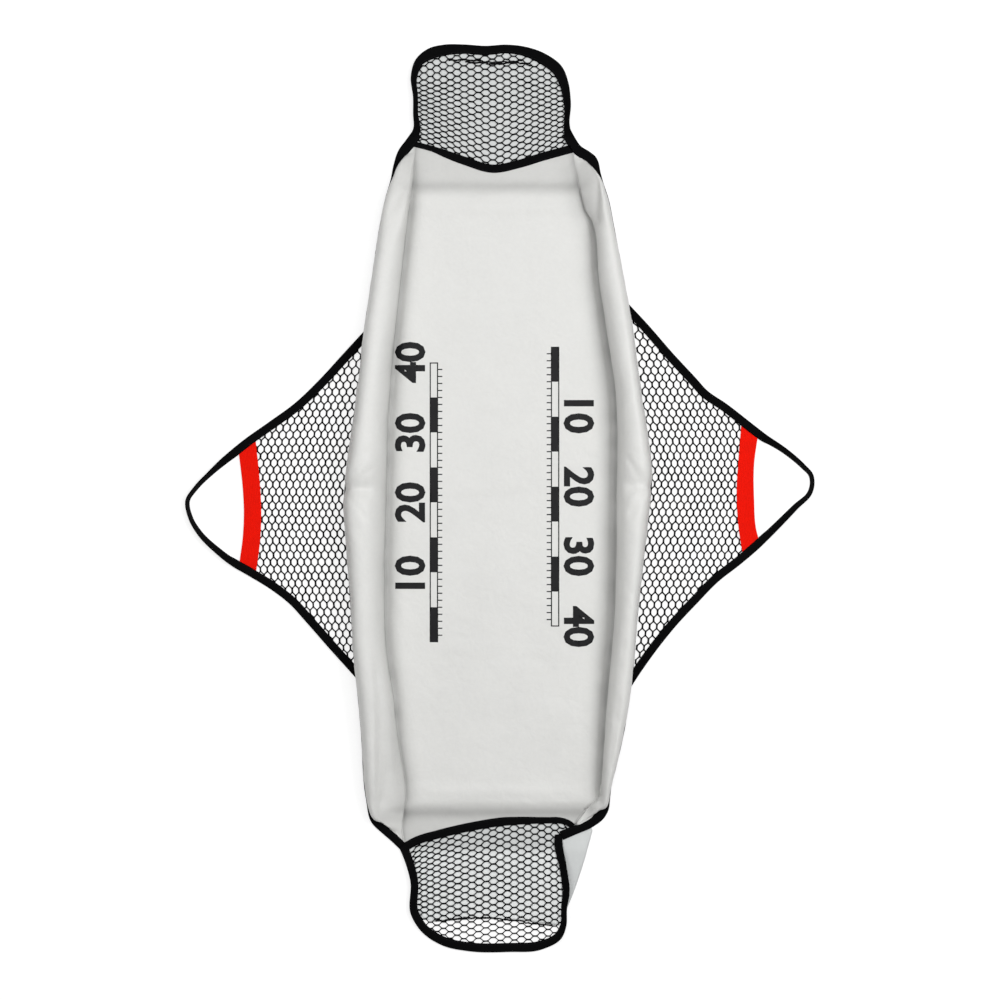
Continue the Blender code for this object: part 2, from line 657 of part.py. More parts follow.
def stretched(line, fold, out):
    """The line with both ends carried back past the fold."""
    back = np.vstack([line[0] - out * TAPE_WIDTH, line, line[-1] - out * TAPE_WIDTH])
    return back


def make_flap_margin(end, seam, fold, out, look):
    """The strip of netting between the seam and the fold line, held by the side bindings."""
    sign = 1 if end == "head" else -1
    away = np.array([0, sign * HEAD_FLAP_LENGTH])
    outline = np.vstack([seam[:1] + away, seam, seam[-1:] + away])

    def trimmed(seam_gap, fold_gap, side_gap):
        shape = outline.copy()
        shape[1:-1] = beside(shape[1:-1], sign * seam_gap)
        shape[0], shape[-1] = shape[1] + away, shape[-2] + away
        shape = clip(shape, fold - out * fold_gap, -out)
        for side in (LEFT, RIGHT):
            line = edges[side][:CURVE_STEPS] if end == "head" else edges[side][-CURVE_STEPS:]
            step = line[-1] - line[0]
            inward = np.array([-step[1], step[0]]) * -side
            inward = inward / np.linalg.norm(inward)
            shape = clip(shape, line[0] + inward * side_gap, inward)
        return spaced(shape, CLEARANCE)

    body = trimmed(CLEARANCE, CLEARANCE, EDGE_INSET)
    window = trimmed(NET_EDGE, NET_EDGE, TAPE_WIDTH + CLEARANCE)
    plate(f"{end}_net_margin", body, net_cells(window, False), LINER_BOTTOM, NET_THICKNESS, look)


def make_wing(side, name, shares, strap_shares, fold, reach, carrier, looks):
    """One wing: net, handle tape that runs on as the hand loop, and the red strap across it."""
    net_look, tape_look, red_look = looks
    edge = smooth(wing_line(shares, side, fold, reach))
    out = side * edge[:, 0] - fold
    moving = edge[out > CLEARANCE]
    inward = -side
    share = (side * moving[:, 0] - fold) / reach
    fold_point = np.array([side * (fold + CLEARANCE), 0])
    across = np.array([side, 0])

    strap = smooth(wing_line(strap_shares, side, fold, reach))
    strap = evenly(strap, 7)
    strap_share = float(side * strap[:, 0].mean() - fold) / reach
    places = np.linspace(0, 1, len(moving))
    loop = places[share > strap_share]
    places = np.concatenate([
        np.linspace(0, loop[0], BAND_POINTS, endpoint=False),
        np.linspace(loop[0], loop[-1], LOOP_POINTS, endpoint=False),
        np.linspace(loop[-1], 1, BAND_POINTS),
    ])
    line = at_shares(evenly(moving, len(moving)), places)
    line_share = (side * line[:, 0] - fold) / reach
    beyond = np.clip((line_share - strap_share) / (1 - strap_share) * 2 - 0.4, 0, 1)
    beyond = beyond**2 * (3 - 2 * beyond)
    slots = SLOT + (CLEARANCE - SLOT) * beyond
    folded_tape(f"{name}_handle_tape", line, inward, 0, tape_look, carrier, slots, LOOP_TWIST * beyond,
                ends=((fold_point, across), (fold_point, across)))

    strap_middle = np.array([strap[:, 0].mean(), 0])
    net_end = strap_middle + across * (RED_STRAP_WIDTH / 2 - STRAP_OVERLAP)
    window_end = strap_middle - across * (RED_STRAP_WIDTH / 2 + NET_EDGE)
    inner = beside(line, inward * EDGE_INSET)
    outline = clip(stretched(inner, np.zeros(2), across), fold_point, across)
    outline = clip(outline, net_end, -across)
    inner = beside(line, inward * (TAPE_WIDTH + CLEARANCE))
    window = clip(stretched(inner, np.zeros(2), across), fold_point + across * NET_EDGE, across)
    window = clip(window, window_end, -across)
    plate(f"{name}_wing_net", outline, net_cells(window, True), WING_NET_BOTTOM, NET_THICKNESS, net_look, carrier)

    band = np.vstack([beside(strap, RED_STRAP_WIDTH / 2), beside(strap, -RED_STRAP_WIDTH / 2)[::-1]])
    limit = beside(line, inward * (TAPE_WIDTH + 4 * CLEARANCE))
    near = [np.argmin(np.abs(limit[:, 0] - strap_middle[0]) + (limit[:, 1] * way < 0) * reach) for way in (1, -1)]
    for place in near:
        step = limit[place + 1] - limit[place - 1]
        normal = np.array([-step[1], step[0]]) * inward
        band = clip(band, limit[place], normal)
    top = WING_NET_BOTTOM + NET_THICKNESS + CLEARANCE
    plate(f"{name}_red_strap", band, [], top, RED_STRAP_THICKNESS, red_look, carrier)
    make_wing_root(side, name, edge, fold, net_look, tape_look)


def make_wing_root(side, name, edge, fold, net_look, tape_look):
    """What stays with the bed: the net's sewn-in margin and the two sewn-in ends of the tape."""
    inward = -side
    bed = edges[side]
    outer = beside(bed, side * CLEARANCE)
    head, tail = smooth_end(edge[:CURVE_STEPS * 2]), smooth_end(edge[::-1][:CURVE_STEPS])
    for end, line, way in (("head", head, 1), ("tail", tail, -1)):
        reach = fold_crossing(line, side, fold - CLEARANCE)
        seat = nearest(outer, line[0])
        step = outer[seat + 1] - outer[seat - 1]
        normal = np.array([-step[1], step[0]])
        path = np.array([line[0], reach])
        folded_tape(f"{name}_{end}_tape_end", path, inward * way, 0, tape_look,
                    ends=((outer[seat], normal), ((side * (fold - CLEARANCE), 0), (1, 0))))

    def trimmed(bed_gap, fold_gap, edge_gap):
        line = beside(bed, side * bed_gap)
        line = line[(line[:, 1] < head[0][1]) & (line[:, 1] > tail[0][1])]
        line = evenly(line, EDGE_POINTS)
        far = side * (fold - fold_gap)
        shape = np.vstack([line, (far, line[-1][1]), (far, line[0][1])])
        for path, way in ((head, 1), (tail, -1)):
            step = path[-1] - path[0]
            normal = np.array([-step[1], step[0]]) * inward * way
            normal = normal / np.linalg.norm(normal)
            shape = clip(shape, path[0] + normal * edge_gap, normal)
        return shape

    body = spaced(trimmed(CLEARANCE, CLEARANCE, EDGE_INSET), CLEARANCE)
    window = trimmed(NET_EDGE, NET_EDGE, TAPE_WIDTH + CLEARANCE)
    window = clip(window, (side * fold, 0), (-side, 0))
    cells = [cell for cell in net_cells(window, True) if abs(area(cell)) > 0]
    plate(f"{name}_net_margin", body, cells, WING_NET_BOTTOM, NET_THICKNESS, net_look)


def smooth_end(line):
    return np.array([line[0], line[-1]])


def fold_crossing(line, side, fold):
    a, b = line
    share = (side * fold - a[0]) / (b[0] - a[0])
    return a + (b - a) * share


def nearest(line, point):
    return int(np.argmin(np.linalg.norm(line - point, axis=1)))


def main():
    clear_scene()
    grey = material("coated_grey_sheet", (0.66, 0.665, 0.645), 0.45)
    base_grey = material("coated_grey_base", (0.60, 0.64, 0.63), 0.5)
    foam = material("white_foam", (0.78, 0.78, 0.76), 0.9)
    tape = material("black_tape", (0.012, 0.012, 0.013), 0.8)
    net = material("black_net", (0.014, 0.014, 0.015), 0.7)
    red = material("red_webbing", (0.86, 0.018, 0.004), 0.7)

    rows, top, side_columns = make_liner(grey)
    first, last = 1, side_columns - 1
    count = top.shape[1]
    make_wall_foam("left_wall_foam", rows, top, range(last - 1, first - 1, -1), foam)
    make_wall_foam("right_wall_foam", rows, top, range(count - last, count - first), foam)
    make_pad(foam)
    make_base(base_grey)
    make_side_binding("left_side_binding", LEFT, tape)
    make_side_binding("right_side_binding", RIGHT, tape)
    make_seam_binding("head_seam_binding", head_seam, HEAD_TAPE_SHARES, HEAD_FLAP_HALF, HEAD_FLAP_SHIFT, -1, tape)
    make_seam_binding("tail_seam_binding", tail_seam, TAIL_TAPE_SHARES, TAIL_FLAP_HALF, TAIL_FLAP_SHIFT, 1, tape)

    head_carrier = fold_empty("head_fold", (*head_fold, FLAP_FOLD_HEIGHT))
    tail_carrier = fold_empty("tail_fold", (*tail_fold, FLAP_FOLD_HEIGHT))
    make_flap("head", head_rim, head_fold, head_out, head_carrier, net, tape)
    make_flap("tail", tail_rim, tail_fold, tail_out, tail_carrier, net, tape)
    make_flap_margin("head", head_seam, head_fold, head_out, net)
    make_flap_margin("tail", tail_seam, tail_fold, tail_out, net)

    left_carrier = fold_empty("left_wing_fold", (-LEFT_FOLD, 0, WING_FOLD_HEIGHT))
    right_carrier = fold_empty("right_wing_fold", (RIGHT_FOLD, 0, WING_FOLD_HEIGHT))
    looks = (net, tape, red)
    make_wing(LEFT, "left", LEFT_WING_SHARES, LEFT_STRAP_SHARES, LEFT_FOLD, LEFT_WING_REACH, left_carrier, looks)
    make_wing(RIGHT, "right", RIGHT_WING_SHARES, RIGHT_STRAP_SHARES, RIGHT_FOLD, RIGHT_WING_REACH, right_carrier,
              looks)


main()
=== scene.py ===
# %% [markdown]
# # An unhooking mat, dressed from its imported model
#
# The mat is a grey coated bed with two soft side walls, black tape on every edge, a net flap at each
# end and a net wing on each side, which narrows to a hand loop under a red strap. The imported model
# gives the frame: what moves, about which line, and where each part lies. This script adds the looks.
# Each piece is a surface worked out with numpy. It rides on one body, or, across a fold, is baked in place on no
# body.

# %% The imported frame
import json
import math

import bmesh
import bpy
import numpy as np
from mathutils import Matrix, Vector
from mathutils.bvhtree import BVHTree

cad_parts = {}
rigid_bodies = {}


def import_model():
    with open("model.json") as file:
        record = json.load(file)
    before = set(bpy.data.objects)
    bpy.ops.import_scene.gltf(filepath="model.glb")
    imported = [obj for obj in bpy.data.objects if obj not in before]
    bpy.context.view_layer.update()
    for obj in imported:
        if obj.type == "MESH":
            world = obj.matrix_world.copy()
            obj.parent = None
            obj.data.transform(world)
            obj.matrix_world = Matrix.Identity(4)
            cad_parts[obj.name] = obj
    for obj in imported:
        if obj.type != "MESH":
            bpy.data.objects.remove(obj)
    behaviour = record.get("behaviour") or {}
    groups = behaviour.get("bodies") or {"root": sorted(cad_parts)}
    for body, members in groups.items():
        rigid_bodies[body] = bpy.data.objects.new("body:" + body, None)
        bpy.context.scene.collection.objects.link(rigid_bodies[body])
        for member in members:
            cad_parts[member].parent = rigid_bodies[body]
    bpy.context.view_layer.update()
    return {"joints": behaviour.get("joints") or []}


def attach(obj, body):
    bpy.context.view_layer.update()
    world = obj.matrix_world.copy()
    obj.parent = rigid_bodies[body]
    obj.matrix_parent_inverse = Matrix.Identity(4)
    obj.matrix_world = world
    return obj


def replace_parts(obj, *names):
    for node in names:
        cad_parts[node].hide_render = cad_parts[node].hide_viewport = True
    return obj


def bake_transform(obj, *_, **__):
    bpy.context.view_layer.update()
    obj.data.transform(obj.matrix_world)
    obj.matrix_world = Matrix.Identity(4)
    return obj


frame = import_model()
joints = {joint["name"]: joint for joint in frame["joints"]}

# %% [markdown]
# ## Places read off the photograph
#
# The mat was photographed straight from above, so one pixel is the same length all over it. Every
# outline here is a short list of pixels, which becomes metres on the ground. A smooth curve goes
# through the points, and its points are then taken at even distances.

# %% From pixels to smooth lines in metres
PIXEL = 0.001432
PHOTO_SIDE = 1000
MIDDLE = (500, 498.5)
CURVE_STEPS = 12


def from_photo(points):
    """Pixels to metres: x to the right and y to the head end. Further columns stay as they are."""
    points = np.asarray(points, float)
    return np.column_stack([(points[:, :2] - MIDDLE) * (PIXEL, -PIXEL), points[:, 2:]])


def up_page(pixels):
    """Pixels down the photograph as metres towards the head end."""
    return (MIDDLE[1] - np.asarray(pixels, float)) * PIXEL


def cubic(start, end, leaving, arriving, length, t):
    """A cubic from start to end with the two given slopes, at the share t of its length."""
    begun = start * (1 - t) ** 2 * (1 + 2 * t) + leaving * length * t * (1 - t) ** 2
    return begun + end * t**2 * (3 - 2 * t) - arriving * length * t**2 * (1 - t)


def flowing(points, chord=None):
    """Cubics through the points. Each slope is the mean of its two neighbours, the nearer counting more."""
    points = np.asarray(points, float)
    gap = np.diff(points, axis=0)
    if chord is None:
        chord = np.linalg.norm(gap[:, :2], axis=1)
    chord = np.asarray(chord, float)[:, None]
    slope = gap / chord
    middle = (slope[:-1] * chord[1:] + slope[1:] * chord[:-1]) / (chord[1:] + chord[:-1])
    slope = np.vstack([slope[:1], middle, slope[-1:]])[:, None]
    t = np.linspace(0, 1, CURVE_STEPS, endpoint=False)[None, :, None]
    curve = cubic(points[:-1, None], points[1:, None], slope[:-1], slope[1:], chord[:, None], t)
    return np.vstack([curve.reshape(-1, points.shape[1]), points[-1:]])


def sums(steps):
    """Running sums, which start at 0."""
    return np.concatenate([[0], np.cumsum(steps)])


def run_of(line):
    """How far along the line each of its points lies, measured in plan."""
    return sums(np.linalg.norm(np.diff(line[:, :2], axis=0), axis=1))


def to_end(run):
    """How far each place is from the nearer end of its run."""
    return np.minimum(run, run[..., -1:] - run)


def at(line, places):
    """Points of the line at given distances along it."""
    run = run_of(line)
    return np.column_stack([np.interp(places, run, column) for column in line.T])


def at_shares(line, shares):
    """Points of the line at given shares of its length."""
    return at(line, shares * run_of(line)[-1])


def evenly(line, spacing):
    """Points of the line about a spacing apart."""
    length = run_of(line)[-1]
    return at(line, np.linspace(0, length, int(round(length / spacing)) + 1))


def table(pairs, where):
    """A smooth curve through a table's values, which stays between each two and is level where they turn."""
    x, y = np.array(pairs, float).T
    slope = np.diff(y) / np.diff(x)
    product = slope[:-1] * slope[1:]
    inner = np.where(product > 0, 2 * product / np.where(product > 0, slope[:-1] + slope[1:], 1), 0)
    slope = np.concatenate([slope[:1], inner, slope[-1:]])
    k = np.clip(np.searchsorted(x, where) - 1, 0, len(x) - 2)
    length = x[k + 1] - x[k]
    return cubic(y[k], y[k + 1], slope[k], slope[k + 1], length, (where - x[k]) / length)


def ramp(value, start, length):
    """0 up to the start, 1 from a length further on, and a straight line between them."""
    return np.clip((value - start) / length, 0, 1)


def ease(share):
    """0 below 0, 1 above 1, and a level start and end between them."""
    share = np.clip(share, 0, 1)
    return share * share * (3 - 2 * share)


def bell(away, width):
    """1 at no distance, about a third at one width and next to nothing at two."""
    return np.exp(-((away / width) ** 2))


def left_steps(path):
    """The step to the left of each point, longer in a bend, so a line beside the path keeps its distance."""
    ahead = np.diff(path[:, :2], axis=0)
    ahead = ahead / np.linalg.norm(ahead, axis=1)[:, None]
    left = np.column_stack([-ahead[:, 1], ahead[:, 0]])
    before, after = np.vstack([left[:1], left]), np.vstack([left, left[-1:]])
    return (before + after) / np.maximum(1 + (before * after).sum(axis=1), 1)[:, None]


def beside(line, distance):
    """The line in plan, moved to its left, or to its right where the distance is negative."""
    return line[:, :2] + left_steps(line) * distance


def within(points, outline):
    """True for each point inside a closed outline: a ray from it crosses that an odd number of times."""
    x, y = points[:, 0][:, None], points[:, 1][:, None]
    ax, ay = outline.T
    bx, by = np.roll(ax, -1), np.roll(ay, -1)
    spans = (ay > y) != (by > y)
    rise = np.where(by == ay, 1, by - ay)
    return np.count_nonzero(spans & (ax + (y - ay) * (bx - ax) / rise > x), axis=1) % 2 == 1


def soft_noise(seed, places, size):
    """Smooth noise from -1 to 1 at points of the plan: a seeded grid of values, eased between its knots."""
    knots = np.random.default_rng(seed).uniform(-1, 1, (64, 64))
    cell = places / size + 32
    whole = np.floor(cell).astype(int)
    share = ease(cell - whole)
    i, j = whole[..., 0] % 64, whole[..., 1] % 64
    i2, j2 = (i + 1) % 64, (j + 1) % 64
    low = knots[i, j] + (knots[i2, j] - knots[i, j]) * share[..., 0]
    high = knots[i, j2] + (knots[i2, j2] - knots[i, j2]) * share[..., 0]
    return low + (high - low) * share[..., 1]


print(f"one pixel is {PIXEL * 1000:.3f} mm, so the photograph is {PIXEL * PHOTO_SIDE:.2f} m wide")

# %% [markdown]
# ## Making a mesh from a grid
#
# Most pieces are a grid of points: a sheet is open, and a tape or a strand closes round its section.
# One function turns a grid into quads and keeps two lengths with it, along and across, in metres. They
# are the piece's own UV map, so that a weave follows the cloth wherever it bends.

# %% Grid to mesh
def mesh_piece(name, points, faces, uv=None):
    mesh = bpy.data.meshes.new(name)
    mesh.from_pydata(points.reshape(-1, 3).tolist(), [], faces.tolist())
    if uv is not None:
        layer = mesh.uv_layers.new(name="lengths")
        layer.data.foreach_set("uv", uv.reshape(-1).astype(np.float32))
    mesh.shade_smooth()
    piece = bpy.data.objects.new(name, mesh)
    bpy.context.scene.collection.objects.link(piece)
    return piece


def corners_of(grid):
    return np.stack([grid[:-1, :-1], grid[1:, :-1], grid[1:, 1:], grid[:-1, 1:]], axis=2)


def skin(name, grid, lengthwise, crosswise, closed=False):
    """Rows along a piece and columns across it, as quads. A closed one gets a strip over each end."""
    rows, columns = grid.shape[:2]
    index = np.arange(rows * columns).reshape(rows, columns)
    if closed:
        index = np.column_stack([index, index[:, 0]])
    shape = index.shape
    u = np.broadcast_to(lengthwise, shape[::-1]).T if np.ndim(lengthwise) == 1 else lengthwise
    v = np.broadcast_to(crosswise, shape)
    faces = corners_of(index).reshape(-1, 4)
    uv = np.stack([corners_of(u).reshape(-1, 4), corners_of(v).reshape(-1, 4)], axis=2)
    if closed:
        half = columns // 2
        k = np.arange(half - 1)
        strip = np.stack([k, k + 1, columns - 2 - k, columns - 1 - k], axis=1)
        last = strip[:, ::-1] + (rows - 1) * columns
        faces = np.vstack([faces, strip, last])
        uv = np.concatenate([uv, np.zeros((2 * (half - 1), 4, 2))])
    return mesh_piece(name, grid, faces, uv)


def many(name, small, middle, forward, sideways, upward):
    """A small shape repeated: each copy's point is its middle plus x forward, y sideways and z upward."""
    shape, faces = small
    x, y, z = shape[None, :, 0:1], shape[None, :, 1:2], shape[None, :, 2:3]
    points = middle[:, None] + x * forward[:, None] + y * sideways[:, None] + z * upward[:, None]
    shift = np.arange(len(middle))[:, None, None] * len(shape)
    return mesh_piece(name, points, (faces[None] + shift).reshape(-1, faces.shape[1]))


def capsule(sides, stations):
    """A short strand along x: rings of the given (place, radius), closed by a small face at each end."""
    place, radius = np.array(stations, float).T
    turn = np.arange(sides) * 2 * math.pi / sides
    rings = np.stack([
        np.repeat(place[:, None], sides, 1), radius[:, None] * np.cos(turn), radius[:, None] * np.sin(turn),
    ], axis=2)
    index = np.arange(len(place) * sides).reshape(-1, sides)
    ring = np.column_stack([index, index[:, 0]])
    faces = np.stack([ring[:-1, :-1], ring[:-1, 1:], ring[1:, 1:], ring[1:, :-1]], axis=2).reshape(-1, 4)
    pair = np.arange(sides // 2 - 1)
    cap = np.stack([pair, sides - 1 - pair, sides - 2 - pair, pair + 1], axis=1)
    return rings.reshape(-1, 3), np.vstack([faces, cap, cap[:, ::-1] + index[-1, 0]])


def unit(vectors):
    return vectors / np.linalg.norm(vectors, axis=-1, keepdims=True)


def ruled(left, right, row_count, column_count):
    """A grid of points between two lines, and the shares down and across it."""
    down, over = np.linspace(0, 1, row_count), np.linspace(0, 1, column_count)
    left, right = at_shares(left, down)[:, None], at_shares(right, down)[:, None]
    return left * (1 - over[None, :, None]) + right * over[None, :, None], down, over


def area_of(piece):
    return float(sum(face.area for face in piece.data.polygons))


# %% [markdown]
# ## The picture's camera, floor and light
#
# A camera high above with a long lens looks straight down, so the walls hide as little as in the
# photograph. The floor is a plain diffuse white, and it shines a little for the camera alone, which
# gives the white ground without putting more light on the mat. One broad lamp hangs above, two stand high
# on either side, the right one stronger, and an even sky fills the rest. Slopes turn darker under them,
# and each wall keeps one lamp off the floor beside it, which draws the creases.

# %% Camera, floor and lamps
CAMERA_HEIGHT = 5.0
FRAME_WIDTH = PHOTO_SIDE * PIXEL
FLOOR_GREY = 0.5
FLOOR_GLOW = 0.66
FLOOR_DROP = 0.0006
SKY = 0.34

scene = bpy.context.scene
camera = bpy.data.objects.new("camera_above", bpy.data.cameras.new("camera_above"))
camera.data.sensor_width = 36
camera.data.lens = camera.data.sensor_width * CAMERA_HEIGHT / FRAME_WIDTH
camera.location = (0, (MIDDLE[1] - PHOTO_SIDE / 2) * PIXEL, CAMERA_HEIGHT)
scene.collection.objects.link(camera)
scene.camera = camera
scene.view_settings.view_transform = "Standard"
print(f"lens {camera.data.lens:.1f} mm")


def add(tree, kind, wires=None, **settings):
    """A shader node with its settings, and each input set to a value or wired to a socket."""
    made = tree.nodes.new("ShaderNode" + kind)
    for key, value in settings.items():
        setattr(made, key, value)
    for key, value in (wires or {}).items():
        if isinstance(value, bpy.types.NodeSocket):
            tree.links.new(value, made.inputs[key])
        else:
            made.inputs[key].default_value = value
    return made


def calc(tree, operation, *values):
    made = add(tree, "Math", dict(enumerate(values)), operation=operation)
    return made.outputs[0]


def seen_directly(tree):
    """1 for a ray from the camera, or one that a gloss or a glass sends on, and 0 for light on its way."""
    path = add(tree, "LightPath")
    seen = calc(tree, "MAXIMUM", path.outputs["Is Camera Ray"], path.outputs["Is Glossy Ray"])
    return calc(tree, "MAXIMUM", seen, path.outputs["Is Transmission Ray"])


floor_look = bpy.data.materials.new("studio_floor")
floor_look.use_nodes = True
tree = floor_look.node_tree
tree.nodes.clear()
diffuse = add(tree, "BsdfDiffuse", {"Color": (FLOOR_GREY, FLOOR_GREY, FLOOR_GREY, 1)})
glow = add(tree, "Emission", {"Strength": calc(tree, "MULTIPLY", seen_directly(tree), FLOOR_GLOW)})
both = add(tree, "AddShader", {0: diffuse.outputs[0], 1: glow.outputs[0]})
add(tree, "OutputMaterial", {"Surface": both.outputs[0]})

floor = bpy.data.meshes.new("studio_floor")
floor.from_pydata([(-9, -9, 0), (9, -9, 0), (9, 9, 0), (-9, 9, 0)], [], [(0, 1, 2, 3)])
floor.materials.append(floor_look)
floor = bpy.data.objects.new("studio_floor", floor)
scene.collection.objects.link(floor)
floor.location.z = -FLOOR_DROP

sky = bpy.data.worlds.new("even_sky")
scene.world = sky
sky.use_nodes = True
tree = sky.node_tree
tree.nodes.clear()
seen = seen_directly(tree)
strength = calc(tree, "MULTIPLY_ADD", seen, 1 - SKY, SKY)
add(tree, "OutputWorld", {"Surface": add(tree, "Background", {"Strength": strength}).outputs[0]})


def lamp(name, place, size, power):
    """A square lamp that shines at the origin and isn't seen itself."""
    light = bpy.data.lights.new(name, "AREA")
    light.size = size
    light.energy = power
    made = bpy.data.objects.new(name, light)
    made.location = place
    made.rotation_euler = (-Vector(place)).to_track_quat("-Z", "Y").to_euler()
    made.visible_camera = False
    scene.collection.objects.link(made)


lamp("lamp_above", (0.2, 0.65, 3.3), 1.7, 29)
lamp("lamp_right", (1.7, 0.55, 2.6), 1.2, 38)
lamp("lamp_left", (-1.7, 0.55, 2.6), 1.2, 18)

# %% [markdown]
# ## Looks: coated sheet, tape, yarn, webbing and ink
#
# Each material is made of a few named effects. A woven scrim shows faintly through the grey coating,
# which is mottled by handling. Tape and webbing are woven in ribs, and the net is twisted yarn. The
# effects are node groups with their own inputs, because more than one material uses each of them.

# %% Effects that several materials share
def group(name, inputs, outputs):
    """A node group with its inputs as (title, kind, value) and its outputs as (title, kind)."""
    made = bpy.data.node_groups.new(name, "ShaderNodeTree")
    for title, kind, value in inputs:
        socket = made.interface.new_socket(title, in_out="INPUT", socket_type="NodeSocket" + kind)
        if value is not None:
            socket.default_value = value
    for title, kind in outputs:
        made.interface.new_socket(title, in_out="OUTPUT", socket_type="NodeSocket" + kind)
    return made, made.nodes.new("NodeGroupInput").outputs, made.nodes.new("NodeGroupOutput").inputs


def make_mottle():
    """Large soft patches and small specks, which vary how light a colour is and how even its gloss."""
    tree, given, out = group("mottle", [
        ("Place", "Vector", None), ("Colour", "Color", (0.5, 0.5, 0.5, 1)), ("Patch", "Float", 14.0),
        ("Strength", "Float", 0.05), ("Gloss", "Float", 0.5),
    ], [("Colour", "Color"), ("Roughness", "Float"), ("Height", "Float")])
    place, patch = given["Place"], given["Patch"]
    patches = add(tree, "TexNoise", {"Vector": place, "Scale": patch, "Detail": 4.0, "Roughness": 0.6})
    fine = calc(tree, "MULTIPLY", patch, 22.0)
    specks = add(tree, "TexNoise", {"Vector": place, "Scale": fine, "Detail": 2.0, "Roughness": 0.5})
    large = calc(tree, "MULTIPLY", patches.outputs[0], 0.7)
    mixed = calc(tree, "ADD", large, calc(tree, "MULTIPLY", specks.outputs[0], 0.3))
    around = calc(tree, "SUBTRACT", mixed, 0.5)
    change = calc(tree, "MULTIPLY", calc(tree, "MULTIPLY", around, 4.0), given["Strength"])
    shade = add(tree, "HueSaturation", {"Value": calc(tree, "ADD", 1.0, change), "Color": given["Colour"]})
    tree.links.new(shade.outputs[0], out["Colour"])
    tree.links.new(calc(tree, "ADD", given["Gloss"], calc(tree, "MULTIPLY", around, 0.5)), out["Roughness"])
    tree.links.new(mixed, out["Height"])
    return tree


def make_weave():
    """Two sets of threads: height and a painted shade are sines along and across, leaning over by the slant."""
    tree, given, out = group("weave", [
        ("Place", "Vector", None), ("Along", "Float", 900.0), ("Across", "Float", 900.0),
        ("Slant", "Float", 0.0),
    ], [("Height", "Float"), ("Tint", "Float")])
    split = add(tree, "SeparateXYZ", {0: given["Place"]})
    u, v = (calc(tree, "MULTIPLY", split.outputs[axis], calc(tree, "MULTIPLY", given[count], 2 * math.pi))
            for axis, count in ((0, "Along"), (1, "Across")))
    ribs = calc(tree, "SINE", calc(tree, "ADD", u, calc(tree, "MULTIPLY", v, given["Slant"])))
    threads = calc(tree, "SINE", v)
    height = calc(tree, "ADD", calc(tree, "MULTIPLY", ribs, 0.3), calc(tree, "MULTIPLY", threads, 0.2))
    height = calc(tree, "ADD", height, 0.5)
    tree.links.new(height, out["Height"])
    # Painted shade and highlight: the colour is darker in the hollows between threads and lighter on the ribs.
    tree.links.new(calc(tree, "MULTIPLY_ADD", height, 0.3, 0.85), out["Tint"])
    return tree


mottle_group = make_mottle()
weave_group = make_weave()
print("effects:", mottle_group.name, weave_group.name)


# %% The materials
CLOTH_SHINE = 0.03


def placed(tree, made_group, **wires):
    """A node of the group, wired like any other."""
    return add(tree, "Group", wires, node_tree=made_group).outputs


def mottled_look(name, colour, roughness, shine, patch, strength):
    """A new material, its tree, the coordinates in it and the mottle of its colour and gloss."""
    look = bpy.data.materials.new(name)
    look.use_nodes = True
    tree = look.node_tree
    shader = tree.nodes["Principled BSDF"].inputs
    shader["Roughness"].default_value = roughness
    shader["Specular IOR Level"].default_value = shine
    place = add(tree, "TexCoord").outputs
    mottle = placed(tree, mottle_group, Place=place["Object"], Colour=(*colour, 1), Patch=patch,
                    Strength=strength, Gloss=roughness)
    return look, tree, place, mottle


def wired(look, colour, mottle, *layers):
    """Wires colour, gloss and bump layers of (height socket, depth in metres), each on top of the last."""
    tree = look.node_tree
    shader = tree.nodes["Principled BSDF"].inputs
    tree.links.new(colour, shader["Base Color"])
    tree.links.new(mottle["Roughness"], shader["Roughness"])
    normal = None
    for height, depth in layers:
        wires = {"Height": height, "Distance": depth, "Strength": 1.0}
        if normal is not None:
            wires["Normal"] = normal
        normal = add(tree, "Bump", wires).outputs[0]
    tree.links.new(normal, shader["Normal"])
    return look


def coated_sheet(name, colour, roughness):
    """Coated cloth: mottled colour and gloss, a fine scrim under the coating, and shallow handling marks.

    Where the mesh has a `darker` attribute, the colour is that share darker.
    """
    look, tree, place, mottle = mottled_look(name, colour, roughness, shine=0.42, patch=9.0, strength=0.05)
    scrim = placed(tree, weave_group, Place=place["UV"], Along=620.0, Across=620.0)
    marks = add(tree, "TexNoise", {
        "Vector": place["Object"], "Scale": 38.0, "Detail": 3.0, "Roughness": 0.55, "Distortion": 0.4,
    })
    darker = add(tree, "Attribute", attribute_name="darker")
    light = calc(tree, "SUBTRACT", 1.0, darker.outputs["Fac"])
    shade = add(tree, "HueSaturation", {"Value": light, "Color": mottle["Colour"]})
    return wired(look, shade.outputs[0], mottle, (marks.outputs[0], 0.0011), (scrim["Height"], 0.00003))


def woven_tape(name, colour, roughness, along, across, slant, depth, strength=0.12):
    """Narrow woven goods: ribs over threads, read from the piece's own lengths, with a mottled dye."""
    look, tree, place, mottle = mottled_look(name, colour, roughness, CLOTH_SHINE, 60.0, strength)
    weave = placed(tree, weave_group, Place=place["UV"], Along=along, Across=across, Slant=slant)
    # The weave's painted shade darkens the hollows of the tape's colour and lightens its ribs.
    shade = add(tree, "HueSaturation", {"Value": weave["Tint"], "Color": mottle["Colour"]})
    return wired(look, shade.outputs[0], mottle, (mottle["Height"], 0.0002), (weave["Height"], depth))


def mottle_alone(name, colour, roughness, shine, patch, strength, depth):
    """A look that is mottled in height too: the fibres of twisted yarn, or ink that has worn."""
    look, tree, place, mottle = mottled_look(name, colour, roughness, shine, patch, strength)
    return wired(look, mottle["Colour"], mottle, (mottle["Height"], depth))


def yarn(name, colour, roughness):
    return mottle_alone(name, colour, roughness, CLOTH_SHINE, patch=90.0, strength=0.25, depth=0.0003)


